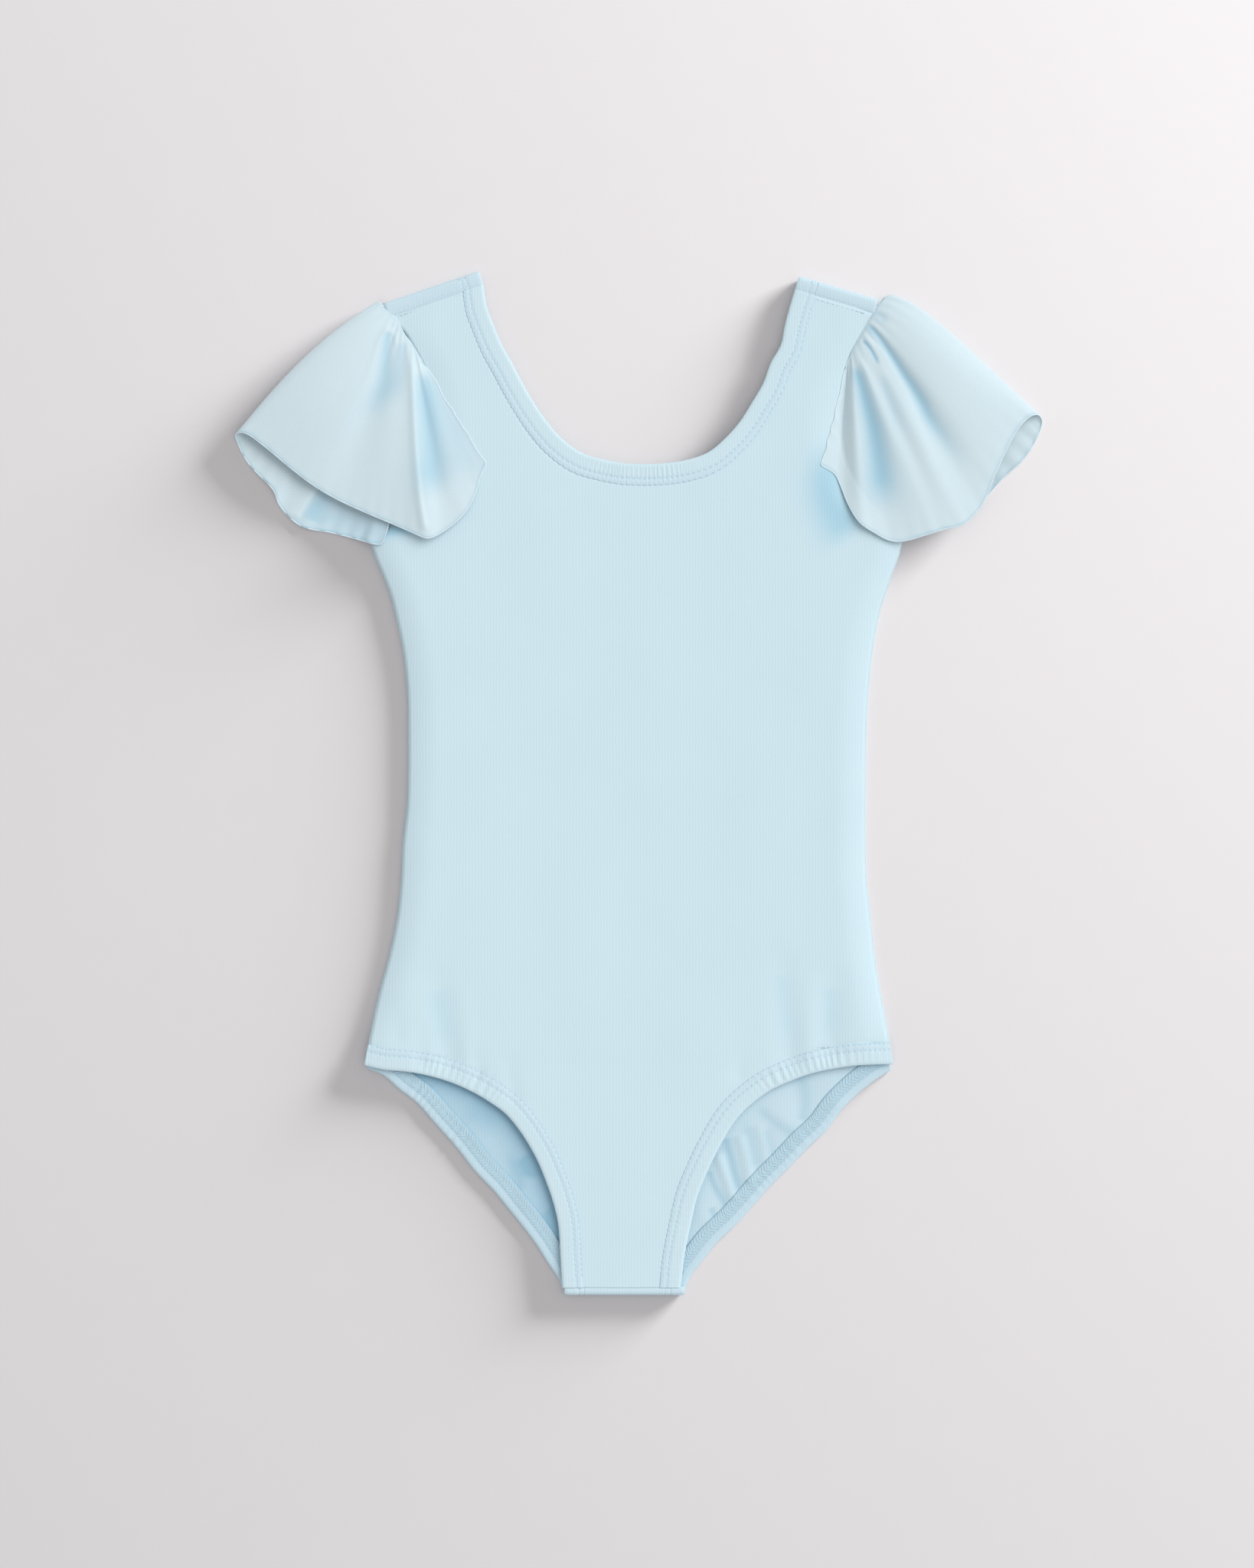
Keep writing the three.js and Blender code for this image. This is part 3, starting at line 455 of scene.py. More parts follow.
class Edge:
    """A turned edge of a panel, with the direction that runs into its cloth."""

    SAMPLES = 61
    SEAM_SHARE = 0.09

    def __init__(self, points: np.ndarray, turn: float, start: np.ndarray,
                 end: np.ndarray) -> None:
        """Makes the edge.

        Args:
            points: Points that it runs through.
            turn: 1 where the cloth is to the left of its run, and -1 to the right.
            start: Direction into the cloth where it starts, along the seam there.
            end: The same where it ends.
        """
        self.curve, self.turn, self.start, self.end = Curve(points), turn, start, end

    @classmethod
    def neck(cls, table: Table, down: float) -> "Edge":
        """A neckline: down the left side from one shoulder and up to the other.

        Args:
            table: The neckline's outline.
            down: How far below the shoulder fold it starts and ends.

        Returns:
            The edge.
        """
        left, right = Shoulder(Side.LEFT), Shoulder(Side.RIGHT)
        points = np.vstack([left.point(0, down), table.points("left", "y"),
                            table.points("right", "y")[::-1], right.point(0, down)])
        return cls(points, -1.0, left.along, right.along)

    @classmethod
    def leg(cls, table: Table, side: Side) -> "Edge":
        """The edge of a leg opening, from the hip corner to the crotch.

        Args:
            table: The outline of both legs' edges.
            side: The leg's side.

        Returns:
            The edge.
        """
        seam = SIDE.points(side.value, "y")
        points = table.points(f"{side.value}_x", f"{side.value}_y")
        return cls(points, -side.outward, unit(seam[-2] - seam[-1]), np.array([-side.outward, 0]))

    def into(self, t: np.ndarray) -> np.ndarray:
        """Directions into the cloth: square to the edge, turning to the seams at its ends.

        Args:
            t: Shares of the edge.

        Returns:
            Unit directions, with the coordinates last.
        """
        tangent = self.curve.tangent(t)
        square = np.stack([-tangent[..., 1], tangent[..., 0]], -1) * self.turn
        first = (1 - smoothstep(t, 0, self.SEAM_SHARE))[..., None]
        last = smoothstep(t, 1 - self.SEAM_SHARE, 1)[..., None]
        mixed = square * (1 - first) + self.start * first
        return unit(mixed * (1 - last) + self.end * last)

    def inset(self, t: np.ndarray, across: np.ndarray) -> np.ndarray:
        """Points at shares t of the edge, that far into the cloth."""
        t, across = np.broadcast_arrays(np.asarray(t, float), np.asarray(across, float))
        return self.curve.at(t) + self.into(t) * across[..., None]

    def stitch_line(self) -> Curve:
        """The line that the panel's cloth starts on, just under the hem's inner edge."""
        return Curve(self.inset(np.linspace(0, 1, self.SAMPLES), HEM_WIDTH - HEM_TUCK))

    def from_stitch_line(self, x: np.ndarray, y: np.ndarray) -> tuple[np.ndarray, np.ndarray]:
        """How points lie to the stitch line.

        Args:
            x: Places, any shape.
            y: Places, in x's shape.

        Returns:
            Distances from the line, and shares of the edge beside the points.
        """
        line = self.stitch_line()
        away, _, share = line.beside(x, y)
        return away, np.interp(share, line.share[::Curve.STEPS], np.linspace(0, 1, self.SAMPLES))


# Heights of the cloth


@dataclass(frozen=True)
class Crease:
    """A trough along a smooth line, or a ridge where its depth is negative.

    "width" gives its half width at the line's start and end. "shade_amount" is how much
    painted shade it puts on the cloth's colour, and a negative one takes painted shade away.
    "fade" gives the shares of the line in which it grows and dies out.
    """

    line: tuple[tuple[float, float], ...]
    depth: float
    width: tuple[float, float]
    shade_amount: float = 0.0
    fade: tuple[float, float] = (0.12, 0.4)
    lean: float = 0.0

    def strength(self, x: np.ndarray, y: np.ndarray) -> np.ndarray:
        """How strongly it acts at points: exp(-(d / w)^2), with d the distance from its line.

        The width w runs from its first to its second value along the line, and is greater
        by "lean" on the left of the line's run and less on the right. The strength grows
        over the first share of "fade" and dies out over the last.

        Args:
            x: Places, any shape.
            y: Places, in x's shape.

        Returns:
            Strengths from 0 to 1, in x's shape.
        """
        away, leftward, t = Curve(np.array(self.line)).beside(x, y, 64)
        width = (self.width[0] + (self.width[1] - self.width[0]) * t) * (1 + self.lean * leftward)
        ends = smoothstep(t, 0, self.fade[0]) * (1 - smoothstep(t, 1 - self.fade[1], 1))
        return np.exp(-((away / width) ** 2)) * ends


def fold(creases: tuple[Crease, ...], x: np.ndarray,
         y: np.ndarray) -> tuple[np.ndarray, np.ndarray]:
    """What creases do at points together.

    Args:
        creases: The creases.
        x: Places, any shape.
        y: Places, in x's shape.

    Returns:
        How far they press the cloth down, and how much painted shade they put on its colour.
    """
    down, deeper = np.zeros_like(x), np.zeros_like(x)
    for crease in creases:
        strength = crease.strength(x, y)
        down, deeper = down + crease.depth * strength, deeper + crease.shade_amount * strength
    return down, deeper


def pressed(lines: Table, x: np.ndarray, y: np.ndarray) -> np.ndarray:
    """How far a table's straight creases press the cloth down at points.

    Each is its depth times exp(-d^2), where d is the distance from its line in widths. It
    grows from 0.35 of that at the line's start to the whole at its end.

    Args:
        lines: Rows with x y to_x to_y width depth.
        x: Places, any shape.
        y: Places, in x's shape.

    Returns:
        Depths, in x's shape.
    """
    total = np.zeros_like(x)
    for row in np.column_stack(list(lines.columns.values())):
        start, run, width, depth = row[:2], row[2:4] - row[:2], row[4], row[5]
        dx, dy = x - start[0], y - start[1]
        t = np.clip((dx * run[0] + dy * run[1]) / (run @ run), 0, 1)
        away = np.hypot(dx - run[0] * t, dy - run[1] * t) / width
        total += depth * np.exp(-away * away) * (0.35 + 0.65 * t)
    return total


def front_height(x: np.ndarray, y: np.ndarray) -> np.ndarray:
    """Height of the front panel's middle.

    It rises from its side seam to the body's height as 1 - (1 - r)^2 over SIDE_ROUNDING,
    less its creases, with a slow swell of a tenth of a millimetre.

    Args:
        x: Places, any shape.
        y: Places, in x's shape.

    Returns:
        Heights, in x's shape.
    """
    low, high = SIDE["y"][0], ARMHOLE["y"][-1]
    edge = {name: np.where(y > low, ARMHOLE.at_height(np.maximum(y, high), name),
                           SIDE.at_height(np.minimum(y, low), name)) for name in ("left", "right")}
    rise = np.clip(np.minimum(x - edge["left"], edge["right"] - x) / SIDE_ROUNDING, 0, 1)
    seam, body = (FRONT_HEIGHT.at_height(y, name) for name in ("seam", "body"))
    slow = (0.1 * np.sin(x / 19 + 0.8) * np.sin(y / 31 + 0.5)
            + 0.07 * np.sin(x / 11 - y / 43 + 2.1) + 0.05 * np.sin(x / 7.3 + y / 61))
    creased = slow - pressed(FRONT_CREASES, x, y)
    return seam + (body - seam) * (1 - (1 - rise) ** 2) + creased * rise


def back_height(x: np.ndarray, y: np.ndarray) -> np.ndarray:
    """Height of the back panel's middle: flat on the table, but for its ridges and creases.

    Args:
        x: Places, any shape.
        y: Places, in x's shape.

    Returns:
        Heights, in x's shape.
    """
    height = BACK_REST - pressed(BACK_RIDGES, x, y)
    shown = y < LEG_OPENINGS_TOP
    height[shown] -= fold(BACK_CREASES, x[shown], y[shown])[0]
    return np.maximum(height, BACK_REST)


# Creases of the back panel inside the leg openings, and of the sleeves' upper and lower
# layers. Ridges go with the troughs that dip most, because cloth that dips also rises beside
# them. A crease's shade_amount is painted shade in its trough and painted shadow where a fold
# shades the cloth beside it; a crease with no depth is painted shade alone, and a negative
# amount takes painted shade away.

LEG_OPENINGS_TOP = -135

BACK_CREASES = (
    Crease(((43, -174), (46, -184.5), (49, -196), (51, -200.5)),
           0.3, (2.0, 2.6), 0.6, (0.05, 0.1)),
    Crease(((35, -190), (38, -198), (42.5, -205.5), (45, -210)),
           0.3, (1.4, 2.0), 0.55, (0.05, 0.1)),
    Crease(((35.5, -208), (38, -214)), 0.2, (1.6, 1.8), 0.4, (0.2, 0.1)),
    Crease(((52.5, -164), (56, -177), (59, -191)), 0.2, (2.2, 3.4), 0.3, (0.3, 0.2)),
    Crease(((62, -168), (65.5, -179), (67, -184)), 0.2, (2.0, 2.6), 0.25, (0.3, 0.2)),
    Crease(((79.5, -142), (82.5, -154.5), (81, -167)), 0.3, (3.6, 3.2), 0.35, (0.1, 0.1)),
    Crease(((57, -157.5), (68, -167.5), (77, -173)), 0.2, (2.2, 3.0), 0.3, (0.3, 0.1)),
    Crease(((39, -181), (43, -193), (47.5, -205)), -0.9, (2.2, 2.6), 0, (0.1, 0.1)),
    Crease(((50, -172), (53.5, -186), (55.5, -197)), -0.8, (2.4, 2.8), 0, (0.1, 0.1)),
    Crease(((58.5, -166), (61.5, -177), (63, -187)), -0.45, (2.2, 2.6), 0, (0.2, 0.1)),
    Crease(((-63, -179), (-60.5, -190.5), (-57, -202)), 0.3, (3.0, 3.0), 0.2, (0.3, 0.2)),
    Crease(((-57, -182), (-53, -191), (-52, -196)), 0.2, (4.5, 4.5), 0.45, (0.3, 0.4)),
    Crease(((-45, -208), (-41, -216), (-40, -226)), 0.2, (4, 4), 0.4, (0.3, 0.4)),
    Crease(((-88, -160), (-76, -165), (-66, -172)), 0.1, (5, 6), 0.15, (0.3, 0.4)),
)

LEFT_TOP = (
    Crease(((-122, 221.5), (-123, 213), (-123.5, 203.5), (-124.5, 194), (-129, 184), (-133, 173)),
           0.5, (2.2, 6.5), 0.55, (0.05, 0.45)),
    Crease(((-115.5, 217), (-116, 207), (-118, 193), (-121, 180)),
           0.35, (2.4, 5.0), 0.35, (0.1, 0.5)),
    Crease(((-121, 224), (-125, 219), (-127.5, 213), (-130, 204), (-134, 194), (-141, 183)),
           -0.4, (1.3, 4.0), 0, (0.05, 0.5), 0.3),
    Crease(((-111, 216), (-110, 196), (-109.3, 177), (-108.3, 158.5), (-106.5, 139.5),
            (-103.5, 122)), -0.8, (1.3, 2.2), 0, (0.15, 0.05), -0.35),
    Crease(((-105.8, 203.5), (-103.8, 188.5), (-102, 173.5), (-101, 160.5), (-101, 149),
            (-98, 136)), 0.5, (3.2, 9.0), 0.62, (0.12, 0.25)),
    Crease(((-102, 202), (-93, 182), (-86, 162), (-86, 142)), 0, (8, 15), 0.3, (0.2, 0.3)),
    Crease(((-107, 213), (-97, 199.5), (-87.5, 185.5), (-80, 171), (-77, 160)), -0.4, (1.6, 3.0)),
    Crease(((-118.7, 220.5), (-118, 211)), -0.4, (1.0, 1.4), 0, (0.2, 0.5)),
)

LEFT_UNDER = (
    Crease(((-155, 149), (-161.5, 139), (-168, 129.5)), -0.8, (2.4, 2.8), -0.4, (0.2, 0.05), -0.5),
    Crease(((-151, 146), (-156.5, 136.5), (-160, 128)), 0.2, (4.0, 4.5), 0.3, (0.2, 0.05)),
    Crease(((-168, 138), (-148, 130), (-118, 119)), 0, (9, 10), 0.4, (0.1, 0.1)),
)

RIGHT_TOP = (
    Crease(((111.5, 225), (118, 218.5), (124, 210), (129.5, 201.5), (134.5, 194), (139, 186.5),
            (142.5, 179), (149, 169.5), (155.5, 159.5), (161, 150)),
           0.65, (1.2, 5.0), 0.8, (0.04, 0.5)),
    Crease(((110, 217), (113.5, 213), (116, 208.5), (118, 203.5)),
           0.5, (0.9, 1.2), 0.8, (0.1, 0.3)),
    Crease(((106, 205.5), (109.5, 195), (112.5, 184.5), (115.5, 173.5), (117.5, 162), (119, 151),
            (120, 139.5), (121, 128.5)), 0.4, (2.4, 9.0), 0.9, (0.08, 0.3)),
    Crease(((117.5, 201.5), (122, 192), (127, 179), (132.5, 164)),
           0.25, (2.2, 4.5), 0.3, (0.2, 0.5)),
    Crease(((103, 201.5), (104, 184.5), (105, 166), (107, 147), (110, 128.5)),
           -0.25, (2.0, 4.5), 0, (0.15, 0.2)),
    Crease(((110.5, 219.5), (119, 211), (125, 201.5), (130.5, 190.5), (136, 177), (142, 162),
            (147, 147)), -0.35, (1.3, 4.0), 0, (0.05, 0.35), -0.3),
    Crease(((107, 208.5), (110.5, 204), (113.5, 196), (118, 183), (123.5, 168), (128, 151)),
           -0.3, (1.2, 4.0), 0, (0.08, 0.4)),
    Crease(((115, 230.5), (119.5, 228), (121.5, 223.5)), 0.4, (1.6, 2.0), 0.3, (0.1, 0.4)),
)

# Painted shade on the front with no crease of its own: along the leg creases, and painted
# shadows below the left sleeve and beside the right sleeve.

FRONT_SHADES = (
    Crease(((-98, -100), (-93, -134)), 0, (5, 5), 0.18),
    Crease(((71, -92), (75, -134)), 0, (5, 5), 0.16),
    Crease(((95, -99), (94, -129)), 0, (5, 5), 0.18),
    Crease(((-127, 122), (-117, 124), (-106, 127.5)), 0, (3, 3.5), 0.8, (0.05, 0.4)),
    Crease(((99, 172), (93, 152), (95, 136), (107, 118)), 0, (7, 13), 0.75, (0.4, 0.2)),
)


@dataclass(frozen=True)
class Gathers:
    """The ripples that an elastic draws up in a hem and in the cloth beside it.

    "start" and "end" are the shares of the edge between which they are full, and "reach"
    is how far they go on in the cloth.
    """

    pitch: float
    height: float
    start: float
    end: float
    elsewhere: float = 0.15
    reach: float = 7.0

    def ripple(self, run: np.ndarray, t: np.ndarray, across: np.ndarray) -> np.ndarray:
        """Height of the ripples: a sine along the edge whose phase wanders.

        It is full between start and end, "elsewhere" of that outside them, and rises over
        the hem's first 2.5 mm. It falls to 0.3 across the stitches, and fades as
        exp(-d / reach) beyond the hem.

        Args:
            run: Distance along the edge.
            t: Share of the edge's length.
            across: Distance into the cloth.

        Returns:
            Heights.
        """
        wander = 1.6 * np.sin(run / 6.1) + 1.1 * np.sin(run / 2.7 + 1)
        phase = 2 * math.pi * run / self.pitch + wander
        uneven = 0.72 + 0.28 * np.sin(run / 4.3 + 0.6)
        place = smoothstep(t, self.start - 0.06, self.start + 0.05) * (
            1 - smoothstep(t, self.end - 0.05, self.end + 0.06))
        fade = smoothstep(across, 0.2, 2.5) * (1 - 0.7 * smoothstep(across, 6.2, 10.4))
        fade = fade * np.exp(-np.maximum(across - HEM_WIDTH, 0) / self.reach)
        return self.height * uneven * np.sin(phase) * fade * (
            self.elsewhere + (1 - self.elsewhere) * place)


LEG_GATHERS = {Side.LEFT: Gathers(3.5, 0.26, 0.19, 0.4, 0.12, 3.5),
               Side.RIGHT: Gathers(3.3, 0.28, 0.08, 0.36, 0.1, 3.5)}
INSIDE_GATHERS = {Side.LEFT: Gathers(3.7, 0.34, 0.16, 0.42, 0.1, 4.0),
                  Side.RIGHT: Gathers(4.2, 0.12, 0.25, 0.7, 0.1, 5.0)}


@dataclass(frozen=True)
class Turn:
    """Where cloth that lies on the table turns up round a fold and runs back over itself."""

    at_end: bool
    away: tuple[float, float]
    radius: float
    beyond: float
    steps: int = 14
    tucked: float = 0.9
    dip: float = 0.6

    def lap(self, row: np.ndarray) -> np.ndarray:
        """Carries a row of points round the fold.

        At angle a the row has moved out by radius sin a and up by radius (1 - cos a). Past
        the fold it runs level for "beyond", and then dips by "dip" over a run of "tucked",
        under the front's edge.

        Args:
            row: Points of the row.

        Returns:
            Rows of points.
        """
        angle = np.append(np.linspace(0, math.pi, self.steps + 1)[1:], (math.pi, math.pi))
        past = np.append(np.zeros(self.steps), (self.beyond, self.beyond + self.tucked))
        dip = np.append(np.zeros(self.steps + 1), self.dip)
        out = (self.radius * np.sin(angle) - past)[:, None, None]
        rows = row[None] + out * np.array((*self.away, 0))
        rows[..., 2] = BACK_REST + (self.radius * (1 - np.cos(angle)) - dip)[:, None]
        return rows

    @classmethod
    def shoulder(cls, side: Side) -> "Turn":
        """The turn over a shoulder, from the left end of a row or the right."""
        return cls(side is Side.RIGHT, tuple(Shoulder(side).away), SHOULDER_ROLL,
                   SHOULDER_TURN - SHOULDER_FOOT - SHOULDER_SHORT)

    @classmethod
    def crotch(cls) -> "Turn":
        """The turn at the crotch."""
        return cls(True, (0.0, -1.0), CROTCH_ROLL, CROTCH_TURN - CROTCH_SHORT)


# Meshes


def add_object(name: str, points: np.ndarray, faces: list, material: bpy.types.Material,
               uv: np.ndarray, deeper: np.ndarray | None = None) -> bpy.types.Object:
    """Puts points and faces into a smooth-shaded object at the origin.

    Args:
        name: The piece's name.
        points: Points in millimetres.
        faces: Rows of corner numbers.
        material: Its finish.
        uv: A pair of millimetres to each point: its place in the flat cloth.
        deeper: How much painted shade darkens each point's colour, or None.

    Returns:
        The object.
    """
    mesh = bpy.data.meshes.new(name)
    mesh.from_pydata(((points - ORIGIN) * MM).tolist(), [], faces)
    mesh.polygons.foreach_set("use_smooth", np.ones(len(mesh.polygons), bool))
    corner = np.empty(len(mesh.loops), np.int32)
    mesh.loops.foreach_get("vertex_index", corner)
    mesh.uv_layers.new(name="cloth").data.foreach_set("uv", uv[corner].astype(np.float32).ravel())
    # The deeper attribute: painted shade, which the finish mixes into the colour.
    depth = mesh.attributes.new("deeper", "FLOAT", "POINT")
    depth.data.foreach_set("value", np.zeros(len(points), np.float32) if deeper is None
                           else deeper.astype(np.float32))
    mesh.materials.append(material)
    obj = bpy.data.objects.new(name, mesh)
    bpy.context.scene.collection.objects.link(obj)
    return obj


class ClothMesh:
    """Collects grids of points that may share rows, and walls them."""

    def __init__(self, flip: bool = False) -> None:
        """Starts an empty mesh.

        Args:
            flip: Whether the outer face of a grid whose rows run down is turned down.
        """
        self.points = np.zeros((0, 3))
        self.uv = np.zeros((0, 2))
        self.outer = np.zeros(0)
        self.inner = np.zeros(0)
        self.deeper = np.zeros(0)
        self.quads: list[np.ndarray] = []
        self.flip = flip

    def add(self, grid: np.ndarray, outer: np.ndarray | float, inner: np.ndarray | float,
            uv: np.ndarray | None = None, deeper: np.ndarray | float = 0.0) -> np.ndarray:
        """Adds points.

        Args:
            grid: Points, rows by columns by 3.
            outer: How far the outer face stands off each.
            inner: How far the inner face does.
            uv: Their place in the flat cloth. Their x and y unless given.
            deeper: How much painted shade darkens their colour.

        Returns:
            Their numbers, rows by columns.
        """
        shape = grid.shape[:2]
        numbers = np.arange(shape[0] * shape[1]).reshape(shape) + len(self.points)
        self.points = np.vstack([self.points, grid.reshape(-1, 3)])
        flat = grid[..., :2] if uv is None else uv
        self.uv = np.vstack([self.uv, flat.reshape(-1, 2)])
        self.outer = np.append(self.outer, np.broadcast_to(outer, shape).ravel())
        self.inner = np.append(self.inner, np.broadcast_to(inner, shape).ravel())
        self.deeper = np.append(self.deeper, np.broadcast_to(deeper, shape).ravel())
        return numbers

    def join(self, rows: np.ndarray, turned: bool = False) -> None:
        """Puts faces between rows of point numbers that run down, with columns to the right.

        Args:
            rows: Point numbers, rows by columns.
            turned: Whether the columns run to the left instead.
        """
        a, b, c, d = rows[:-1, :-1], rows[1:, :-1], rows[1:, 1:], rows[:-1, 1:]
        corners = (a, d, c, b) if turned != self.flip else (a, b, c, d)
        self.quads.append(np.stack([k.ravel() for k in corners], 1))

    def wall(self, name: str, material: bpy.types.Material) -> bpy.types.Object:
        """Makes the closed wall: two faces along the grid's normals and a rim between them.

        Args:
            name: The piece's name.
            material: Its finish.

        Returns:
            The object.
        """
        q, p, count = np.vstack(self.quads), self.points, len(self.points)
        facing = np.cross(p[q[:, 2]] - p[q[:, 0]], p[q[:, 3]] - p[q[:, 1]])
        area = np.linalg.norm(facing, axis=1).sum() / 2 * MM * MM
        normals = np.zeros_like(p)
        for k in range(4):
            np.add.at(normals, q[:, k], facing)
        normals = unit(normals)
        top, under = p + normals * self.outer[:, None], p - normals * self.inner[:, None]
        start, end = q.ravel(), np.roll(q, -1, axis=1).ravel()
        open_edge = ~np.isin(end * count + start, start * count + end)
        start, end = start[open_edge], end[open_edge]
        rim = np.stack([end, start, start + count, end + count], 1)
        faces = np.vstack([q, q[:, ::-1] + count, rim])
        log.info("%s: %d faces, %.4f square metres of cloth", name, len(faces), area)
        return add_object(name, np.vstack([top, under]), faces.tolist(), material,
                          np.vstack([self.uv, self.uv]), np.append(self.deeper, self.deeper))


def tubes(name: str, paths: np.ndarray, radius: float, material: bpy.types.Material,
          sides: int = 6) -> bpy.types.Object:
    """Round threads along paths, with closed ends.

    A ring's points stand off its path point by radius (cos a, sin a) along two directions
    square to the path, the second as near to upright as it can be.

    Args:
        name: The piece's name.
        paths: Threads by points by 3.
        radius: Their radius.
        material: Its finish.
        sides: Points to a ring.

    Returns:
        The object.
    """
    threads, length = paths.shape[:2]
    tangent = unit(np.gradient(paths, axis=1))
    side = unit(np.cross(tangent, np.array([0.0, 0.0, 1.0])))
    rise = np.cross(side, tangent)
    angle = np.arange(sides) * 2 * math.pi / sides
    rings = (paths[:, :, None] + radius * (side[:, :, None] * np.cos(angle)[:, None]
                                           + rise[:, :, None] * np.sin(angle)[:, None]))
    number = np.arange(threads * length * sides).reshape(threads, length, sides)
    after = np.roll(number, -1, axis=2)
    corners = (number[:, :-1], number[:, 1:], after[:, 1:], after[:, :-1])
    walls = np.stack(corners, -1).reshape(-1, 4)
    faces = walls.tolist() + number[:, 0].tolist() + number[:, -1, ::-1].tolist()
    v = rings.reshape(-1, 3)
    a, b, c = (v[walls[:, k]] for k in (0, 1, 2))
    centre = np.repeat((paths[:, :-1] + paths[:, 1:]).reshape(-1, 3) / 2, sides, axis=0)
    if np.einsum("ij,ij->i", np.cross(b - a, c - a), a - centre).sum() < 0:
        faces = [face[::-1] for face in faces]
    run = np.cumsum(np.linalg.norm(np.diff(paths, axis=1, prepend=paths[:, :1]), axis=2), axis=1)
    uv = np.stack([np.broadcast_to(run[..., None], rings.shape[:3]),
                   np.broadcast_to(angle / (2 * math.pi), rings.shape[:3])], -1).reshape(-1, 2)
    log.info("%s: %d threads, %d faces", name, threads, len(faces))
    return add_object(name, v, faces, material, uv)


# Finishes


class Nodes:
    """Makes and links the nodes of one material or group."""

    def __init__(self, tree: bpy.types.NodeTree) -> None:
        """Works in that tree."""
        self.tree = tree

    def new(self, kind: str, values: dict | None = None, **settings: object) -> bpy.types.Node:
        """Adds a node.

        Args:
            kind: Its type.
            values: Socket names or numbers with a value, or with a socket to link from.
            **settings: The node's own settings.

        Returns:
            The node.
        """
        node = self.tree.nodes.new(kind)
        for name, value in settings.items():
            setattr(node, name, value)
        for name, value in (values or {}).items():
            if isinstance(value, bpy.types.NodeSocket):
                self.tree.links.new(value, node.inputs[name])
            else:
                node.inputs[name].default_value = value
        return node

    def math(self, operation: str, a: object, b: object = 0.0) -> bpy.types.NodeSocket:
        """One arithmetic step on two numbers or sockets."""
        return self.new("ShaderNodeMath", {0: a, 1: b}, operation=operation).outputs[0]

    def mix(self, factor: object, a: object, b: object) -> bpy.types.NodeSocket:
        """Colour a where factor is 0 and b where it is 1."""
        node = self.new("ShaderNodeMix", {0: factor, 6: a, 7: b}, data_type="RGBA")
        return node.outputs[2]

    def noise(self, vector: bpy.types.NodeSocket, scale: float,
              detail: float = 2.0) -> bpy.types.NodeSocket:
        """A noise of that scale, from 0 to 1."""
        values = {"Vector": vector, "Scale": scale, "Detail": detail}
        return self.new("ShaderNodeTexNoise", values).outputs[0]


def start_group(name: str, inputs: dict[str, float | None], outputs: dict[str, str]) -> tuple[
        bpy.types.NodeTree, Nodes, bpy.types.Node, bpy.types.Node]:
    """Starts a shader node group.

    Args:
        name: Its name.
        inputs: Inputs with their starting value, None for a vector.
        outputs: Outputs with their socket type.

    Returns:
        The group, a maker of nodes in it, and its input and output nodes.
    """
    tree = bpy.data.node_groups.new(name, "ShaderNodeTree")
    for label, value in inputs.items():
        kind = "NodeSocketVector" if value is None else "NodeSocketFloat"
        socket = tree.interface.new_socket(name=label, in_out="INPUT", socket_type=kind)
        if value is not None:
            socket.default_value = value
    for label, kind in outputs.items():
        tree.interface.new_socket(name=label, in_out="OUTPUT", socket_type=kind)
    make = Nodes(tree)
    return tree, make, make.new("NodeGroupInput"), make.new("NodeGroupOutput")


class Effects:
    """Shader node groups that more than one finish uses."""

    def __init__(self) -> None:
        """Builds each group once."""
        self.stripes = self.build_stripes()
        self.cloth = self.build_cloth()

    def build_stripes(self) -> bpy.types.NodeTree:
        """Rounded parallel stripes that wander a little: ribs, weave lines and thread turns.

        Height is 0.5 + 0.5 sin(2 pi (x cos a + y sin a + wander noise) / pitch).

        Returns:
            The group.
        """
        tree, n, given, result = start_group(
            "parallel_stripes", {"Vector": None, "Pitch": 1.5, "Angle": 0.0, "Wander": 0.1},
            {"Height": "NodeSocketFloat"})
        split = n.new("ShaderNodeSeparateXYZ", {0: given.outputs["Vector"]})
        across = n.math("MULTIPLY", split.outputs[0], n.math("COSINE", given.outputs["Angle"]))
        along = n.math("MULTIPLY", split.outputs[1], n.math("SINE", given.outputs["Angle"]))
        shift = n.math("MULTIPLY", n.math("SUBTRACT", n.noise(given.outputs["Vector"], 0.12), 0.5),
                       given.outputs["Wander"])
        place = n.math("ADD", n.math("ADD", across, along), shift)
        turn = n.math("MULTIPLY", n.math("DIVIDE", place, given.outputs["Pitch"]), 2 * math.pi)
        wave = n.math("MULTIPLY", n.math("SINE", turn), 0.5)
        n.tree.links.new(n.math("ADD", wave, 0.5), result.inputs["Height"])
        return tree

    def build_cloth(self) -> bpy.types.NodeTree:
        """Slow and fine unevenness of dyed cloth, each from 0 to 1.

        Returns:
            The group.
        """
        tree, n, given, result = start_group(
            "cloth_unevenness", {"Vector": None},
            {"Slow": "NodeSocketFloat", "Nap": "NodeSocketFloat"})
        n.tree.links.new(n.noise(given.outputs["Vector"], 0.03, 3.0), result.inputs["Slow"])
        n.tree.links.new(n.noise(given.outputs["Vector"], 2.6, 3.0), result.inputs["Nap"])
        return tree


def linear(red: float, green: float, blue: float) -> tuple[float, float, float, float]:
    """A colour given in display values from 0 to 255, as the shader takes it.

    A value c, from 0 to 1, becomes c / 12.92 where it is at most 10 of 255, and otherwise
    ((c + 0.055) / 1.055)^2.4.

    Args:
        red: Its red.
        green: Its green.
        blue: Its blue.

    Returns:
        Red, green, blue and 1.
    """
    return (*[(c / 255 / 12.92) if c <= 10 else ((c / 255 + 0.055) / 1.055) ** 2.4
              for c in (red, green, blue)], 1.0)


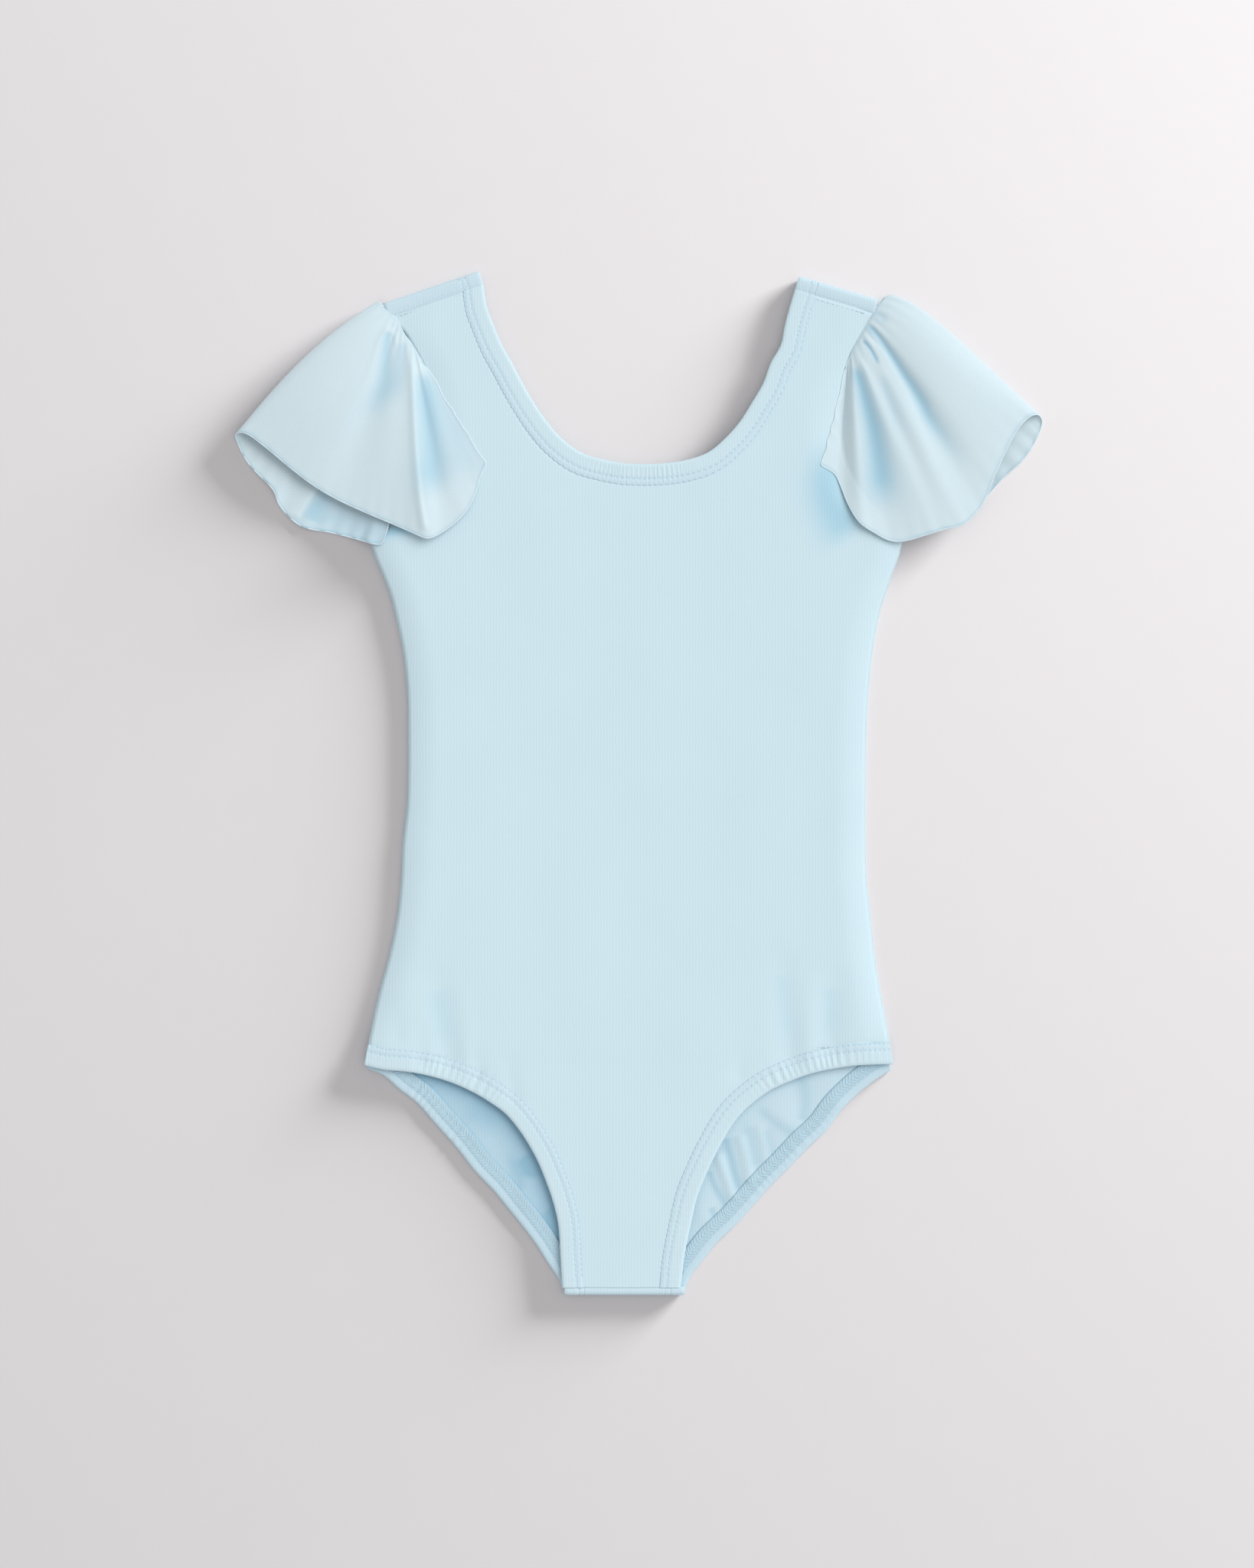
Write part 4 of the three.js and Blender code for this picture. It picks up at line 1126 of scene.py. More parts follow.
@dataclass(frozen=True)
class ClothFinish:
    """A matt dyed cloth with stripes of relief in one or two directions.

    Colours are in display values. "shade" is the painted shade in the troughs between
    stripes, which stripe_shade scales, and also the darker tone of the dye's slow unevenness.
    "painted_shade_colour" is the painted shade of creases, hollows and cast shadows. Pitches,
    relief and nap are in millimetres. "cloudy" is how strongly the slow unevenness turns the
    colour to the shade, where it is over cloud_level, and the nap spreads the roughness by
    "spread".
    """

    name: str
    colour: tuple[float, float, float]
    shade: tuple[float, float, float]
    painted_shade_colour: tuple[float, float, float]
    pitch: float
    angle: float = 0.0
    cross_pitch: float = 0.0
    cross_angle: float = math.pi / 2
    cross_share: float = 0.35
    wander: float = 0.2
    relief: float = 0.12
    nap: float = 0.05
    stripe_shade: float = 0.25
    cloudy: float = 0.8
    cloud_level: float = 0.35
    roughness: float = 0.85
    spread: float = 0.12
    sheen: float = 0.15
    sheen_roughness: float = 0.5
    specular: float = 0.2
    alpha: float = 1.0

    def stripes(self, n: Nodes, group: bpy.types.NodeTree, place: bpy.types.NodeSocket,
                pitch: float, angle: float) -> bpy.types.NodeSocket:
        """The height of one set of stripes.

        Args:
            n: The material's nodes.
            group: The shared stripes.
            place: The point's place in the flat cloth.
            pitch: From one stripe to the next.
            angle: Of the direction across the stripes.

        Returns:
            Its socket.
        """
        values = {"Vector": place, "Pitch": pitch, "Angle": angle, "Wander": self.wander}
        return n.new("ShaderNodeGroup", values, node_tree=group).outputs["Height"]

    def build(self, effects: Effects) -> bpy.types.Material:
        """Makes the material. Its patterns follow the piece's flat cloth, in millimetres.

        Args:
            effects: The shared groups.

        Returns:
            The material.
        """
        material = bpy.data.materials.new(self.name)
        material.use_nodes = True
        tree = material.node_tree
        n = Nodes(tree)
        shader = tree.nodes["Principled BSDF"]
        place = n.new("ShaderNodeUVMap", uv_map="cloth").outputs[0]
        height = self.stripes(n, effects.stripes, place, self.pitch, self.angle)
        if self.cross_pitch:
            cross = self.stripes(n, effects.stripes, place, self.cross_pitch, self.cross_angle)
            height = n.math("ADD", n.math("MULTIPLY", height, 1 - self.cross_share),
                            n.math("MULTIPLY", cross, self.cross_share))
        uneven = n.new("ShaderNodeGroup", {0: place}, node_tree=effects.cloth)
        # Painted shade in the troughs between stripes, with the dye's slow unevenness, both mixed
        # towards the shade colour.
        shade_amount = n.math("MULTIPLY", n.math("SUBTRACT", 1.0, height), self.stripe_shade)
        slow = n.math("SUBTRACT", uneven.outputs["Slow"], self.cloud_level)
        cloudy = n.math("MULTIPLY", slow, self.cloudy)
        factor = n.new("ShaderNodeClamp", {0: n.math("ADD", shade_amount, cloudy)}).outputs[0]
        even = n.mix(factor, linear(*self.colour), linear(*self.shade))
        # Painted shade of creases, hollows and cast shadows, read from each point's deeper
        # attribute.
        deeper = n.new("ShaderNodeAttribute", attribute_name="deeper").outputs["Fac"]
        painted_shade_factor = n.new("ShaderNodeClamp", {0: deeper}).outputs[0]
        tree.links.new(n.mix(painted_shade_factor, even, linear(*self.painted_shade_colour)), shader.inputs["Base Color"])
        rough = n.math("MULTIPLY", uneven.outputs["Nap"], self.spread)
        rough = n.math("ADD", rough, self.roughness - self.spread / 2)
        tree.links.new(rough, shader.inputs["Roughness"])
        surface = n.math("ADD", n.math("MULTIPLY", height, self.relief),
                         n.math("MULTIPLY", uneven.outputs["Nap"], self.nap))
        bump = n.new("ShaderNodeBump", {"Height": surface, "Strength": 1.0, "Distance": MM})
        tree.links.new(bump.outputs[0], shader.inputs["Normal"])
        for socket, value in (("Sheen Weight", self.sheen),
                              ("Sheen Roughness", self.sheen_roughness),
                              ("Specular IOR Level", self.specular), ("Alpha", self.alpha)):
            shader.inputs[socket].default_value = value
        return material


class Finish(Enum):
    """The leotard's finishes."""

    RIB_KNIT = ClothFinish(
        "rib_knit", (207, 230, 238), (200, 225, 235), (160, 207, 227), pitch=1.5, wander=1.2,
        relief=0.035, nap=0.02, stripe_shade=0.3)
    RIB_HEM = ClothFinish(
        "elastic_hem", (208, 230, 238), (199, 223, 233), (168, 206, 224), pitch=1.4, wander=0.9,
        relief=0.04, nap=0.02, stripe_shade=0.35)
    INSIDE_KNIT = ClothFinish(
        "inside_knit", (204, 227, 236), (195, 220, 231), (148, 190, 211), pitch=1.5,
        cross_pitch=1.1, wander=0.8, relief=0.045, nap=0.035, stripe_shade=0.3)
    SHEER = ClothFinish(
        "sheer_mesh", (219, 237, 243), (211, 231, 239), (164, 209, 229), pitch=1.15,
        angle=math.pi / 4, cross_pitch=1.15, cross_angle=-math.pi / 4, wander=0.3, relief=0.03,
        nap=0.012, stripe_shade=0.3, roughness=0.7, sheen=0.3, alpha=0.9)
    ROLLED_HEM = ClothFinish(
        "rolled_hem", (220, 236, 242), (206, 226, 235), (170, 206, 222), pitch=0.7, wander=0.05,
        relief=0.08, nap=0.02, roughness=0.7)
    THREAD = ClothFinish(
        "thread", (216, 235, 242), (192, 216, 228), (170, 206, 222), pitch=0.45, angle=0.5,
        wander=0.02, relief=0.03, nap=0.01, stripe_shade=0.5, roughness=0.6, sheen=0.1)


class Wardrobe:
    """Builds each finish once, and gives out its materials."""

    def __init__(self) -> None:
        """Makes every material."""
        effects = Effects()
        self.materials = {finish: finish.value.build(effects) for finish in Finish}

    def __getitem__(self, finish: Finish) -> bpy.types.Material:
        """The material of a finish."""
        return self.materials[finish]


def carry(piece: bpy.types.Object, slot: str, *nodes: str) -> bpy.types.Object:
    """Rides a piece on the leotard and hides the CAD nodes that it stands for.

    Args:
        piece: The piece.
        slot: Not used.
        *nodes: The CAD nodes that it stands for.

    Returns:
        The piece.
    """
    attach(piece, "root")
    if nodes:
        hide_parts(*nodes)
    return piece


# The leotard's own parts


def stitch_places(length: float) -> np.ndarray:
    """Distances along a seam of that length to the middles of its stitches."""
    return np.arange(1, int(length / STITCH_PITCH) - 1) * STITCH_PITCH


@dataclass
class Hem:
    """An edge turned over elastic, with two rows of stitches.

    "step" is from one row of points to the next, "nose" the radius of the folded edge,
    "thinnest" keeps the fold's two faces apart and "dimple" is the depth of the needle
    holes. A hem that turns with its panel shows its outer face there, which lies "sunk"
    under the face of a front hem. Looper threads stand "proud" of the hem by the first
    number, and halfway along each arm by the second as well.
    """

    name: str
    edge: Edge
    section: Table
    gathers: Gathers
    inside_shows: bool
    flip: bool
    step: float = 0.6
    nose: float = 1.9
    nose_steps: int = 6
    flat_steps: int = 27
    thinnest: float = 0.002
    dimple: float = 0.1
    hole_radius: float = 0.5
    sunk: float = 0.3
    slant: float = 0.04
    chevron: float = 1.3
    chevron_points: int = 9
    proud: tuple[float, float] = (0.06, 0.05)
    turns: tuple[Turn, ...] = ()

    def height(self, x: np.ndarray, y: np.ndarray) -> np.ndarray:
        """Height of the middle of the cloth."""
        return (back_height if self.inside_shows else front_height)(x, y)

    def face(self, t: np.ndarray, across: np.ndarray) -> np.ndarray:
        """How far the shown face stands off the middle.

        It is the section's line, rounded at the edge as sqrt(1 - (1 - a / nose)^2) at a
        distance a, pulled in at each needle hole, with the ripples on top.

        Args:
            t: Shares of the edge.
            across: Distances into the cloth, in t's shape.

        Returns:
            Distances, in t's shape.
        """
        run = t * self.edge.curve.length
        line = self.profile("shown", across) * self.rounding(across)
        holes = np.cos(2 * math.pi * run / STITCH_PITCH)
        for row in STITCH_ROWS:
            line = line + self.dimple * holes * np.exp(-(((across - row) / self.hole_radius) ** 2))
        return line + self.gathers.ripple(run, t, across)

    def rounding(self, across: np.ndarray) -> np.ndarray:
        """The rounding of the folded edge: 0 on it and 1 beyond the nose."""
        rise = 1 - (1 - np.minimum(across / self.nose, 1)) ** 2
        return np.sqrt(np.maximum(rise, self.thinnest))

    def columns(self) -> np.ndarray:
        """Distances into the cloth: close together round the folded edge, then even."""
        nose = self.nose * (1 - np.cos(np.linspace(0, math.pi / 2, self.nose_steps)))
        return np.append(nose, np.linspace(self.nose, HEM_WIDTH, self.flat_steps)[1:])

    def fill(self, mesh: ClothMesh) -> np.ndarray:
        """Adds the band's grid, each point with the band's two faces there.

        Args:
            mesh: The band's mesh.

        Returns:
            The points' numbers, along by across.
        """
        count = int(self.edge.curve.length / self.step)
        t, across = np.meshgrid(np.linspace(0, 1, count + 1), self.columns(), indexing="ij")
        flat = self.edge.inset(t, across)
        grid = np.dstack([flat, self.height(flat[..., 0], flat[..., 1])])
        shown = self.face(t, across)
        hidden = self.profile("hidden", across) * self.rounding(across)
        outer, inner = (hidden, shown) if self.inside_shows else (shown, hidden)
        return mesh.add(grid, outer, inner, deeper=self.profile("deeper", across))

    def profile(self, name: str, across: np.ndarray) -> np.ndarray:
        """A column of the section at distances into the cloth."""
        return np.interp(across, self.section["across"], self.section[name])

    def build(self, wardrobe: Wardrobe, node: str) -> bpy.types.Object:
        """Makes the band that stands for a CAD node, and carries it round its turns.

        Args:
            wardrobe: The finishes.
            node: The CAD node.

        Returns:
            The piece.
        """
        mesh = ClothMesh(self.flip)
        rows, columns = self.fill(mesh), self.columns()
        mesh.join(rows)
        stitched = np.interp(columns, FRONT_HEM["across"], FRONT_HEM["shown"]) - self.sunk
        outer = stitched * self.rounding(columns)
        inner = self.profile("shown", columns) * self.rounding(columns)
        for turn in self.turns:
            row = rows[-1] if turn.at_end else rows[0]
            more = mesh.add(turn.lap(mesh.points[row]), outer, inner)
            mesh.join(np.vstack([row, more] if turn.at_end else [more[::-1], row]))
        finish = Finish.INSIDE_KNIT if self.inside_shows else Finish.RIB_HEM
        return carry(mesh.wall(self.name, wardrobe[finish]), "elastic_hem", node)

    def on_face(self, t: np.ndarray, across: np.ndarray, proud: np.ndarray) -> np.ndarray:
        """Points that stand proud of the shown face.

        Args:
            t: Shares of the edge.
            across: Distances into the cloth, in t's shape.
            proud: Heights above the face, in t's shape.

        Returns:
            The points, in t's shape and 3.
        """
        flat = self.edge.inset(t, across)
        level = self.height(flat[..., 0], flat[..., 1])
        return np.dstack([flat, level + self.face(t, across) + proud])

    def stitches(self, wardrobe: Wardrobe,
                 rows: tuple[float, ...] = STITCH_ROWS) -> bpy.types.Object:
        """Straight stitches along the rows, each one dipping into its needle holes.

        A stitch slants by "slant" of its length, away from the edge.

        Args:
            wardrobe: The finishes.
            rows: Distances of the rows from the edge.

        Returns:
            The piece.
        """
        length = self.edge.curve.length
        t = (stitch_places(length)[:, None] + STITCH_ALONG) / length
        lift = np.broadcast_to(STITCH_LIFT, t.shape)
        slanted = [np.broadcast_to(row + STITCH_ALONG * self.slant, t.shape) for row in rows]
        paths = np.vstack([self.on_face(t, across, lift) for across in slanted])
        return carry(tubes(f"{self.name}_stitches", paths, THREAD_RADIUS,
                           wardrobe[Finish.THREAD]), "thread")

    def looper(self, wardrobe: Wardrobe) -> bpy.types.Object:
        """Chevrons of looper thread over the raw edge of a turned hem.

        Each runs from LOOPER_START forward along the hem, by "chevron" of the pitch, to the
        middle and back to LOOPER_END. It is a little higher halfway along each arm.

        Args:
            wardrobe: The finishes.

        Returns:
            The piece.
        """
        length = self.edge.curve.length
        base = np.arange(2, int(length / LOOPER_PITCH) - 2) * LOOPER_PITCH
        share = np.linspace(0, 1, self.chevron_points)
        along = (1 - np.abs(2 * share - 1)) * LOOPER_PITCH * self.chevron
        t = (base[:, None] + along) / length
        across = np.broadcast_to(LOOPER_START + (LOOPER_END - LOOPER_START) * share, t.shape)
        arch = self.proud[0] + self.proud[1] * np.sin(math.pi * share * 2) ** 2
        lift = np.broadcast_to(arch, t.shape)
        return carry(tubes(f"{self.name}_looper", self.on_face(t, across, lift), LOOPER_RADIUS,
                           wardrobe[Finish.THREAD], 5), "thread")


@dataclass
class Panel:
    """A body panel: a yoke round the neck and rows from side to side below it.

    Its shown face stands half_wall off the cloth's middle, and half_tucked at the edge
    that a hem covers. "shades" gives, by side, how dark the painted shadow is that the front's
    leg edges cast on the back, and how far that reaches.
    """

    name: str
    node: str
    neck: Hem
    legs: dict[Side, Hem]
    shoulder_down: float
    back: bool = False
    half_wall: float = 0.5
    half_tucked: float = 0.12
    covered: float = 1.3
    shades: tuple[tuple[Side, float, float], ...] = (
        (Side.LEFT, 1.0, 17.0), (Side.RIGHT, 0.1, 6.0))
    yoke_spread: float = 1.25
    arm_steps: int = 46
    chest_steps: int = 112
    yoke_steps: int = 26
    side_steps: int = 104
    leg_steps: int = 190

    def height(self, x: np.ndarray, y: np.ndarray) -> np.ndarray:
        """Height of the middle of the cloth."""
        return (back_height if self.back else front_height)(x, y)

    def yoke(self) -> np.ndarray:
        """Rows of points round the neck, from its hem out to the armholes and chest line.

        A point is the straight mix of a point of the neck's stitch line and one of the
        outer line, by the row's share to the power yoke_spread.

        Returns:
            Points, rows by columns by 3, with the neck's ripples in their heights.
        """
        share = NECK_SHARE_BESIDE_ARMHOLE
        arm_t = np.linspace(0, 1, self.arm_steps + 1)
        chest_t = np.linspace(0, 1, self.chest_steps + 1)[1:-1]
        neck_t = np.concatenate([arm_t * share, share + (1 - 2 * share) * chest_t,
                                 1 - arm_t[::-1] * share])
        inside = self.neck.edge.stitch_line().at(neck_t)
        under = np.array([SIDE.points(side.value, "y")[0] for side in Side])
        outside = np.vstack([
            self.armhole(Side.LEFT).at(arm_t),
            under[0] + (under[1] - under[0]) * chest_t[:, None],
            self.armhole(Side.RIGHT).at(arm_t[::-1])])
        rows = np.linspace(0, 1, self.yoke_steps + 1)[:, None, None] ** self.yoke_spread
        return self.rippled(inside * (1 - rows) + outside * rows, [self.neck])

    def rippled(self, flat: np.ndarray, hems: list[Hem]) -> np.ndarray:
        """Raises points to the cloth's height with the ripples of its hems.

        Args:
            flat: Points in the plane, rows by columns by 2.
            hems: The hems beside them.

        Returns:
            Points, rows by columns by 3.
        """
        z = self.height(flat[..., 0], flat[..., 1])
        for hem in hems:
            away, t = hem.edge.from_stitch_line(flat[..., 0], flat[..., 1])
            z = z + hem.gathers.ripple(t * hem.edge.curve.length, t, HEM_WIDTH - HEM_TUCK + away)
        return np.dstack([flat, z])

    def thinned(self, grid: np.ndarray, hems: list[Hem]) -> np.ndarray:
        """How far the cloth's shown face stands off its middle: less where a hem covers it.

        Args:
            grid: Points of the panel, rows by columns by 3.
            hems: The hems beside them.

        Returns:
            Distances, rows by columns.
        """
        away = np.min([hem.edge.from_stitch_line(grid[..., 0], grid[..., 1])[0]
                       for hem in hems], axis=0)
        spare = self.half_wall - self.half_tucked
        return self.half_tucked + spare * smoothstep(away, 0, self.covered)

    def armhole(self, side: Side) -> Curve:
        """The armhole's edge, from the shoulder to the underarm.

        Args:
            side: The armhole's side.

        Returns:
            The curve.
        """
        shoulder = Shoulder(side)
        start = shoulder.point(shoulder.width, self.shoulder_down)
        return Curve(np.vstack([start, ARMHOLE.points(side.value, "y")]))

    def body(self) -> np.ndarray:
        """Rows of points from side to side, below the chest line, down to the crotch.

        A row is straight between its ends. One that ends at the legs also sags by
        3 g s (1 - s) at share s, where g would bring its middle to even spacing.

        Returns:
            Points, rows by columns by 3, with the legs' ripples in their heights.
        """
        stitch = {side: hem.edge.stitch_line() for side, hem in self.legs.items()}
        side_t = np.linspace(0, 1, self.side_steps + 1)[1:]
        leg_t = np.linspace(0, 1, self.leg_steps + 1)[1:]
        ends = []
        for side in Side:
            seam = SIDE.points(side.value, "y")
            end = stitch[side].at(np.array(0.0))
            line = Curve(np.vstack([seam[seam[:, 1] > end[1] + 4], end]))
            ends.append(np.vstack([line.at(side_t), stitch[side].at(leg_t)]))
        share = np.linspace(0, 1, self.chest_steps + 1)[None, :, None]
        flat = ends[0][:, None] * (1 - share) + ends[1][:, None] * share
        middle = flat[self.side_steps - 1:, self.chest_steps // 2, 1]
        sag = middle - np.linspace(middle[0], middle[-1], len(middle))
        flat[self.side_steps - 1:, :, 1] -= 3 * sag[:, None] * share[..., 0] * (1 - share[..., 0])
        return self.rippled(flat, list(self.legs.values()))

    def build(self, wardrobe: Wardrobe) -> bpy.types.Object:
        """Makes the panel, with the back's shoulder and crotch turns.

        Args:
            wardrobe: The finishes.

        Returns:
            The piece.
        """
        mesh = ClothMesh(self.back)
        yoke, body = self.yoke(), self.body()
        rings = self.lay(mesh, yoke, [self.neck])
        rows = self.lay(mesh, body, list(self.legs.values()))
        mesh.join(rings)
        chest = rings[-1, self.arm_steps:self.arm_steps + self.chest_steps + 1]
        rows = np.vstack([chest, rows])
        mesh.join(rows)
        if self.back:
            self.add_turns(mesh, rings, rows[-1])
        finish = Finish.INSIDE_KNIT if self.back else Finish.RIB_KNIT
        return carry(mesh.wall(self.name, wardrobe[finish]), "rib_knit", self.node)

    def lay(self, mesh: ClothMesh, grid: np.ndarray, hems: list[Hem]) -> np.ndarray:
        """Adds rows of the panel, thin under the hems and with painted shade along its creases.

        The back's outer face is the one that lies on the table, BACK_REST below its middle.
        On the back, a painted shadow also falls as exp(-d / reach) from the front's leg edges.

        Args:
            mesh: The panel's mesh.
            grid: Points, rows by columns by 3.
            hems: The hems beside them.

        Returns:
            The points' numbers, rows by columns.
        """
        shown = self.thinned(grid, hems)
        x, y = grid[..., 0], grid[..., 1]
        deeper = fold(BACK_CREASES if self.back else FRONT_SHADES, x, y)[1]
        if self.back:
            for side, amount, reach in self.shades:
                away = Edge.leg(FRONT_LEG, side).curve.beside(x, y)[0]
                deeper = deeper + amount * np.exp(-away / reach)
        outer, inner = (BACK_REST, shown) if self.back else (shown, self.half_wall)
        return mesh.add(grid, outer, inner, deeper=deeper)

    def add_turns(self, mesh: ClothMesh, rings: np.ndarray, last: np.ndarray) -> None:
        """Adds the turns of the back panel over the shoulders and up at the crotch.

        Args:
            mesh: The panel's mesh.
            rings: Point numbers of the yoke.
            last: Point numbers of the row at the crotch.
        """
        for side, start in ((Side.LEFT, rings[:, 0]), (Side.RIGHT, rings[:, -1])):
            outer = np.full(len(start), BACK_REST)
            outer[0] = self.half_tucked
            lap = mesh.add(Turn.shoulder(side).lap(mesh.points[start]), outer, self.half_wall)
            mesh.join(np.vstack([start, lap]), side is Side.RIGHT)
        outer = np.full(len(last), BACK_REST)
        outer[[0, -1]] = self.half_tucked
        lap = mesh.add(Turn.crotch().lap(mesh.points[last]), outer, self.half_wall)
        mesh.join(np.vstack([last, lap]))


@dataclass
class FlutterSleeve:
    """A flared sheer sleeve that lies in soft folds, with a rolled hem and its armhole seam.

    "rising" is over how many folds the front edge rises off the body. The upper layer
    keeps "softness" of the height of its folds, stays over_front above the front panel's
    middle and over_back above the table, and comes down to seam_level at the seam.
    """

    side: Side
    folds: Table
    top: tuple[Crease, ...]
    under: tuple[Crease, ...]
    skew: float
    rising: float
    half_wall: float = 0.22
    flat_length: float = 95.0
    steps_along: int = 110
    steps_between: int = 14
    softness: float = 0.3
    over_front: float = 0.64
    over_back: float = 1.15
    clearance: float = 0.02
    seam_level: float = 4.2
    seam_reach: float = 3.5
    outer_roll: float = 1.4
    hem_wave: float = 0.3
    hem_wave_pitch: float = 9.0
    edge_wave: float = 0.45
    edge_wave_pitch: float = 10.5
    edge_shift: float = 0.9
    pucker: float = 0.4
    pucker_pitch: float = 3.4
    pucker_reach: float = 8.0
    # Painted shade beside the seam, and a darker band along the hem.
    seam_shade: float = 0.25
    seam_shade_reach: float = 3.0
    hem_tint: float = 0.3
    hem_band: tuple[float, float] = (1.2, 2.0)
    rolled_radius: float = 0.36
    seam_radius: float = 0.3
    roll_sides: int = 10

    def fold_number(self) -> np.ndarray:
        """Each column's place among the folds, counted from the front edge."""
        last = len(self.folds["hem_x"]) - 1
        return np.arange(last * self.steps_between + 1) / self.steps_between

    def upper(self) -> np.ndarray:
        """How much each column is of the layer that lies on top: 1, and 0 past the outer fold."""
        outer_fold = np.argmax(np.abs(self.folds["hem_x"]))
        return 1 - smoothstep(self.fold_number(), outer_fold - self.outer_roll, outer_fold)

    def lowest(self, x: np.ndarray, y: np.ndarray) -> np.ndarray:
        """The least height of the upper layer: just over the body, and over the back layer.

        Args:
            x: Places, any shape.
            y: Places, in x's shape.

        Returns:
            Heights, in x's shape.
        """
        edge = np.abs(ARMHOLE.at_height(y, self.side.value))
        on_body = 1 - smoothstep(np.abs(x), edge - 0.5, edge + 4)
        return self.over_back + (front_height(x, y) + self.over_front - self.over_back) * on_body

    def laid(self, t: np.ndarray) -> np.ndarray:
        """Points of the sleeve where its folds lie.

        A fold's point is the straight mix of its seam and hem ends. Its swell times
        sin(pi t^skew) moves it outwards and up the picture, and its bow times sin(pi t)
        lifts it. A smooth curve joins the folds at each t.

        Args:
            t: Shares of the way from the seam to the hem, 1 by along by 1.

        Returns:
            Points, along by across by 3.
        """
        f = self.folds
        seam = np.column_stack([f["seam_x"], f["seam_y"], f["seam_z"]])[:, None]
        hem = np.column_stack([f["hem_x"], f["hem_y"], f["hem_z"]])[:, None]
        swell = f["swell"][:, None, None] * np.sin(math.pi * t**self.skew)
        lines = seam * (1 - t) + hem * t + swell * np.array([self.side.outward * 0.65, 0.76, 0])
        lines = lines + f["bow"][:, None, None] * np.sin(math.pi * t) * np.array([0, 0, 1])
        return through(lines, self.steps_between).transpose(1, 0, 2)

    def puckers(self, seam: np.ndarray, below: np.ndarray) -> np.ndarray:
        """Heights of the gathers at the armhole seam.

        They are a sine along the seam whose phase and height wander. They grow over the
        first 1.5 mm below it and die out as exp(-d / pucker_reach).

        Args:
            seam: Points of the seam, across by 3.
            below: Distances d below it, along by across.

        Returns:
            Heights, along by across.
        """
        run = run_length(seam)
        phase = 2 * math.pi * run / self.pucker_pitch + 1.3 * np.sin(run / 4.1)
        return (self.pucker * np.sin(phase) * (0.7 + 0.3 * np.sin(run / 2.9))
                * np.exp(-below / self.pucker_reach) * smoothstep(below, 0, 1.5))

    def surface(self) -> np.ndarray:
        """Points of the sleeve, from the seam down and from its front to its back edge.

        Small waves run along the hem. The front edge moves towards the body a little below
        the seam, and curls from side to side further down. The upper layer's folds are
        softened, the gathers and creases come on top, and then the layer comes down to the
        seam as exp(-d / seam_reach), and to the body along its front edge.

        Returns:
            Points, along by across by 3.
        """
        t = np.linspace(0, 1, self.steps_along + 1)[None, :, None]
        grid, share, fold_number = self.laid(t), t[0], self.fold_number()
        length = np.linalg.norm(grid[-1] - grid[0], axis=1)
        below, edge_below = share * length, share * length[0]
        run = run_length(grid[-1])
        wave = np.sin(2 * math.pi * run / self.hem_wave_pitch + 1.5 * np.sin(run / 13))
        z = grid[..., 2] + self.hem_wave * share**10 * wave
        puckers = self.puckers(grid[0], below)
        inwards = smoothstep(share, 0, 0.08) * (1 - smoothstep(share, 0.15, 0.4))
        inwards = inwards * self.edge_shift * (1 - smoothstep(fold_number, 0, 1.5))
        grid[..., 0] -= self.side.outward * inwards
        upper, x, y = self.upper(), grid[..., 0], grid[..., 1]
        z -= upper * (1 - self.softness) * (z - self.averaged(z))
        z += puckers - upper * fold(self.top, x, y)[0] - (1 - upper) * fold(self.under, x, y)[0]
        table = self.half_wall + self.clearance
        floor = table + upper * (self.lowest(x, y) - table)
        seam_level = np.maximum(floor, self.seam_level)
        z += np.exp(-below / self.seam_reach) * upper * np.minimum(seam_level - z, 0)
        z += (1 - smoothstep(fold_number, 0, self.rising)) * np.minimum(floor - z, 0)
        grid[..., 2] = np.maximum(z, floor)
        curl = np.sin(2 * math.pi * edge_below / self.edge_wave_pitch
                      + 2.2 * np.sin(edge_below / 5.3))
        curl = curl * self.edge_wave * smoothstep(share, 0.1, 0.3)
        grid[..., 0] += curl * (1 - smoothstep(fold_number, 0, 1))
        return grid

    def averaged(self, z: np.ndarray) -> np.ndarray:
        """Heights averaged across four folds, with a raised cosine as weight.

        Args:
            z: Heights, along by across.

        Returns:
            Averages, in z's shape.
        """
        weight = np.hanning(4 * self.steps_between + 3)
        wide = np.pad(z, ((0, 0), (len(weight) // 2,) * 2), mode="edge")
        return np.stack([np.convolve(row, weight / weight.sum(), "valid") for row in wide])

    def deeper(self, grid: np.ndarray) -> np.ndarray:
        """Painted shade along the creases and beside the seam, and a darker band along the hem.

        Args:
            grid: Points of the sleeve, along by across by 3.

        Returns:
            Amounts, along by across.
        """
        upper, x, y = self.upper(), grid[..., 0], grid[..., 1]
        from_seam = np.linalg.norm(grid - grid[:1], axis=2)
        from_hem = np.linalg.norm(grid - grid[-1:], axis=2)
        return (upper * fold(self.top, x, y)[1] + (1 - upper) * fold(self.under, x, y)[1]
                + self.seam_shade * np.exp(-from_seam / self.seam_shade_reach)
                + self.hem_tint * (1 - smoothstep(from_hem, *self.hem_band)))

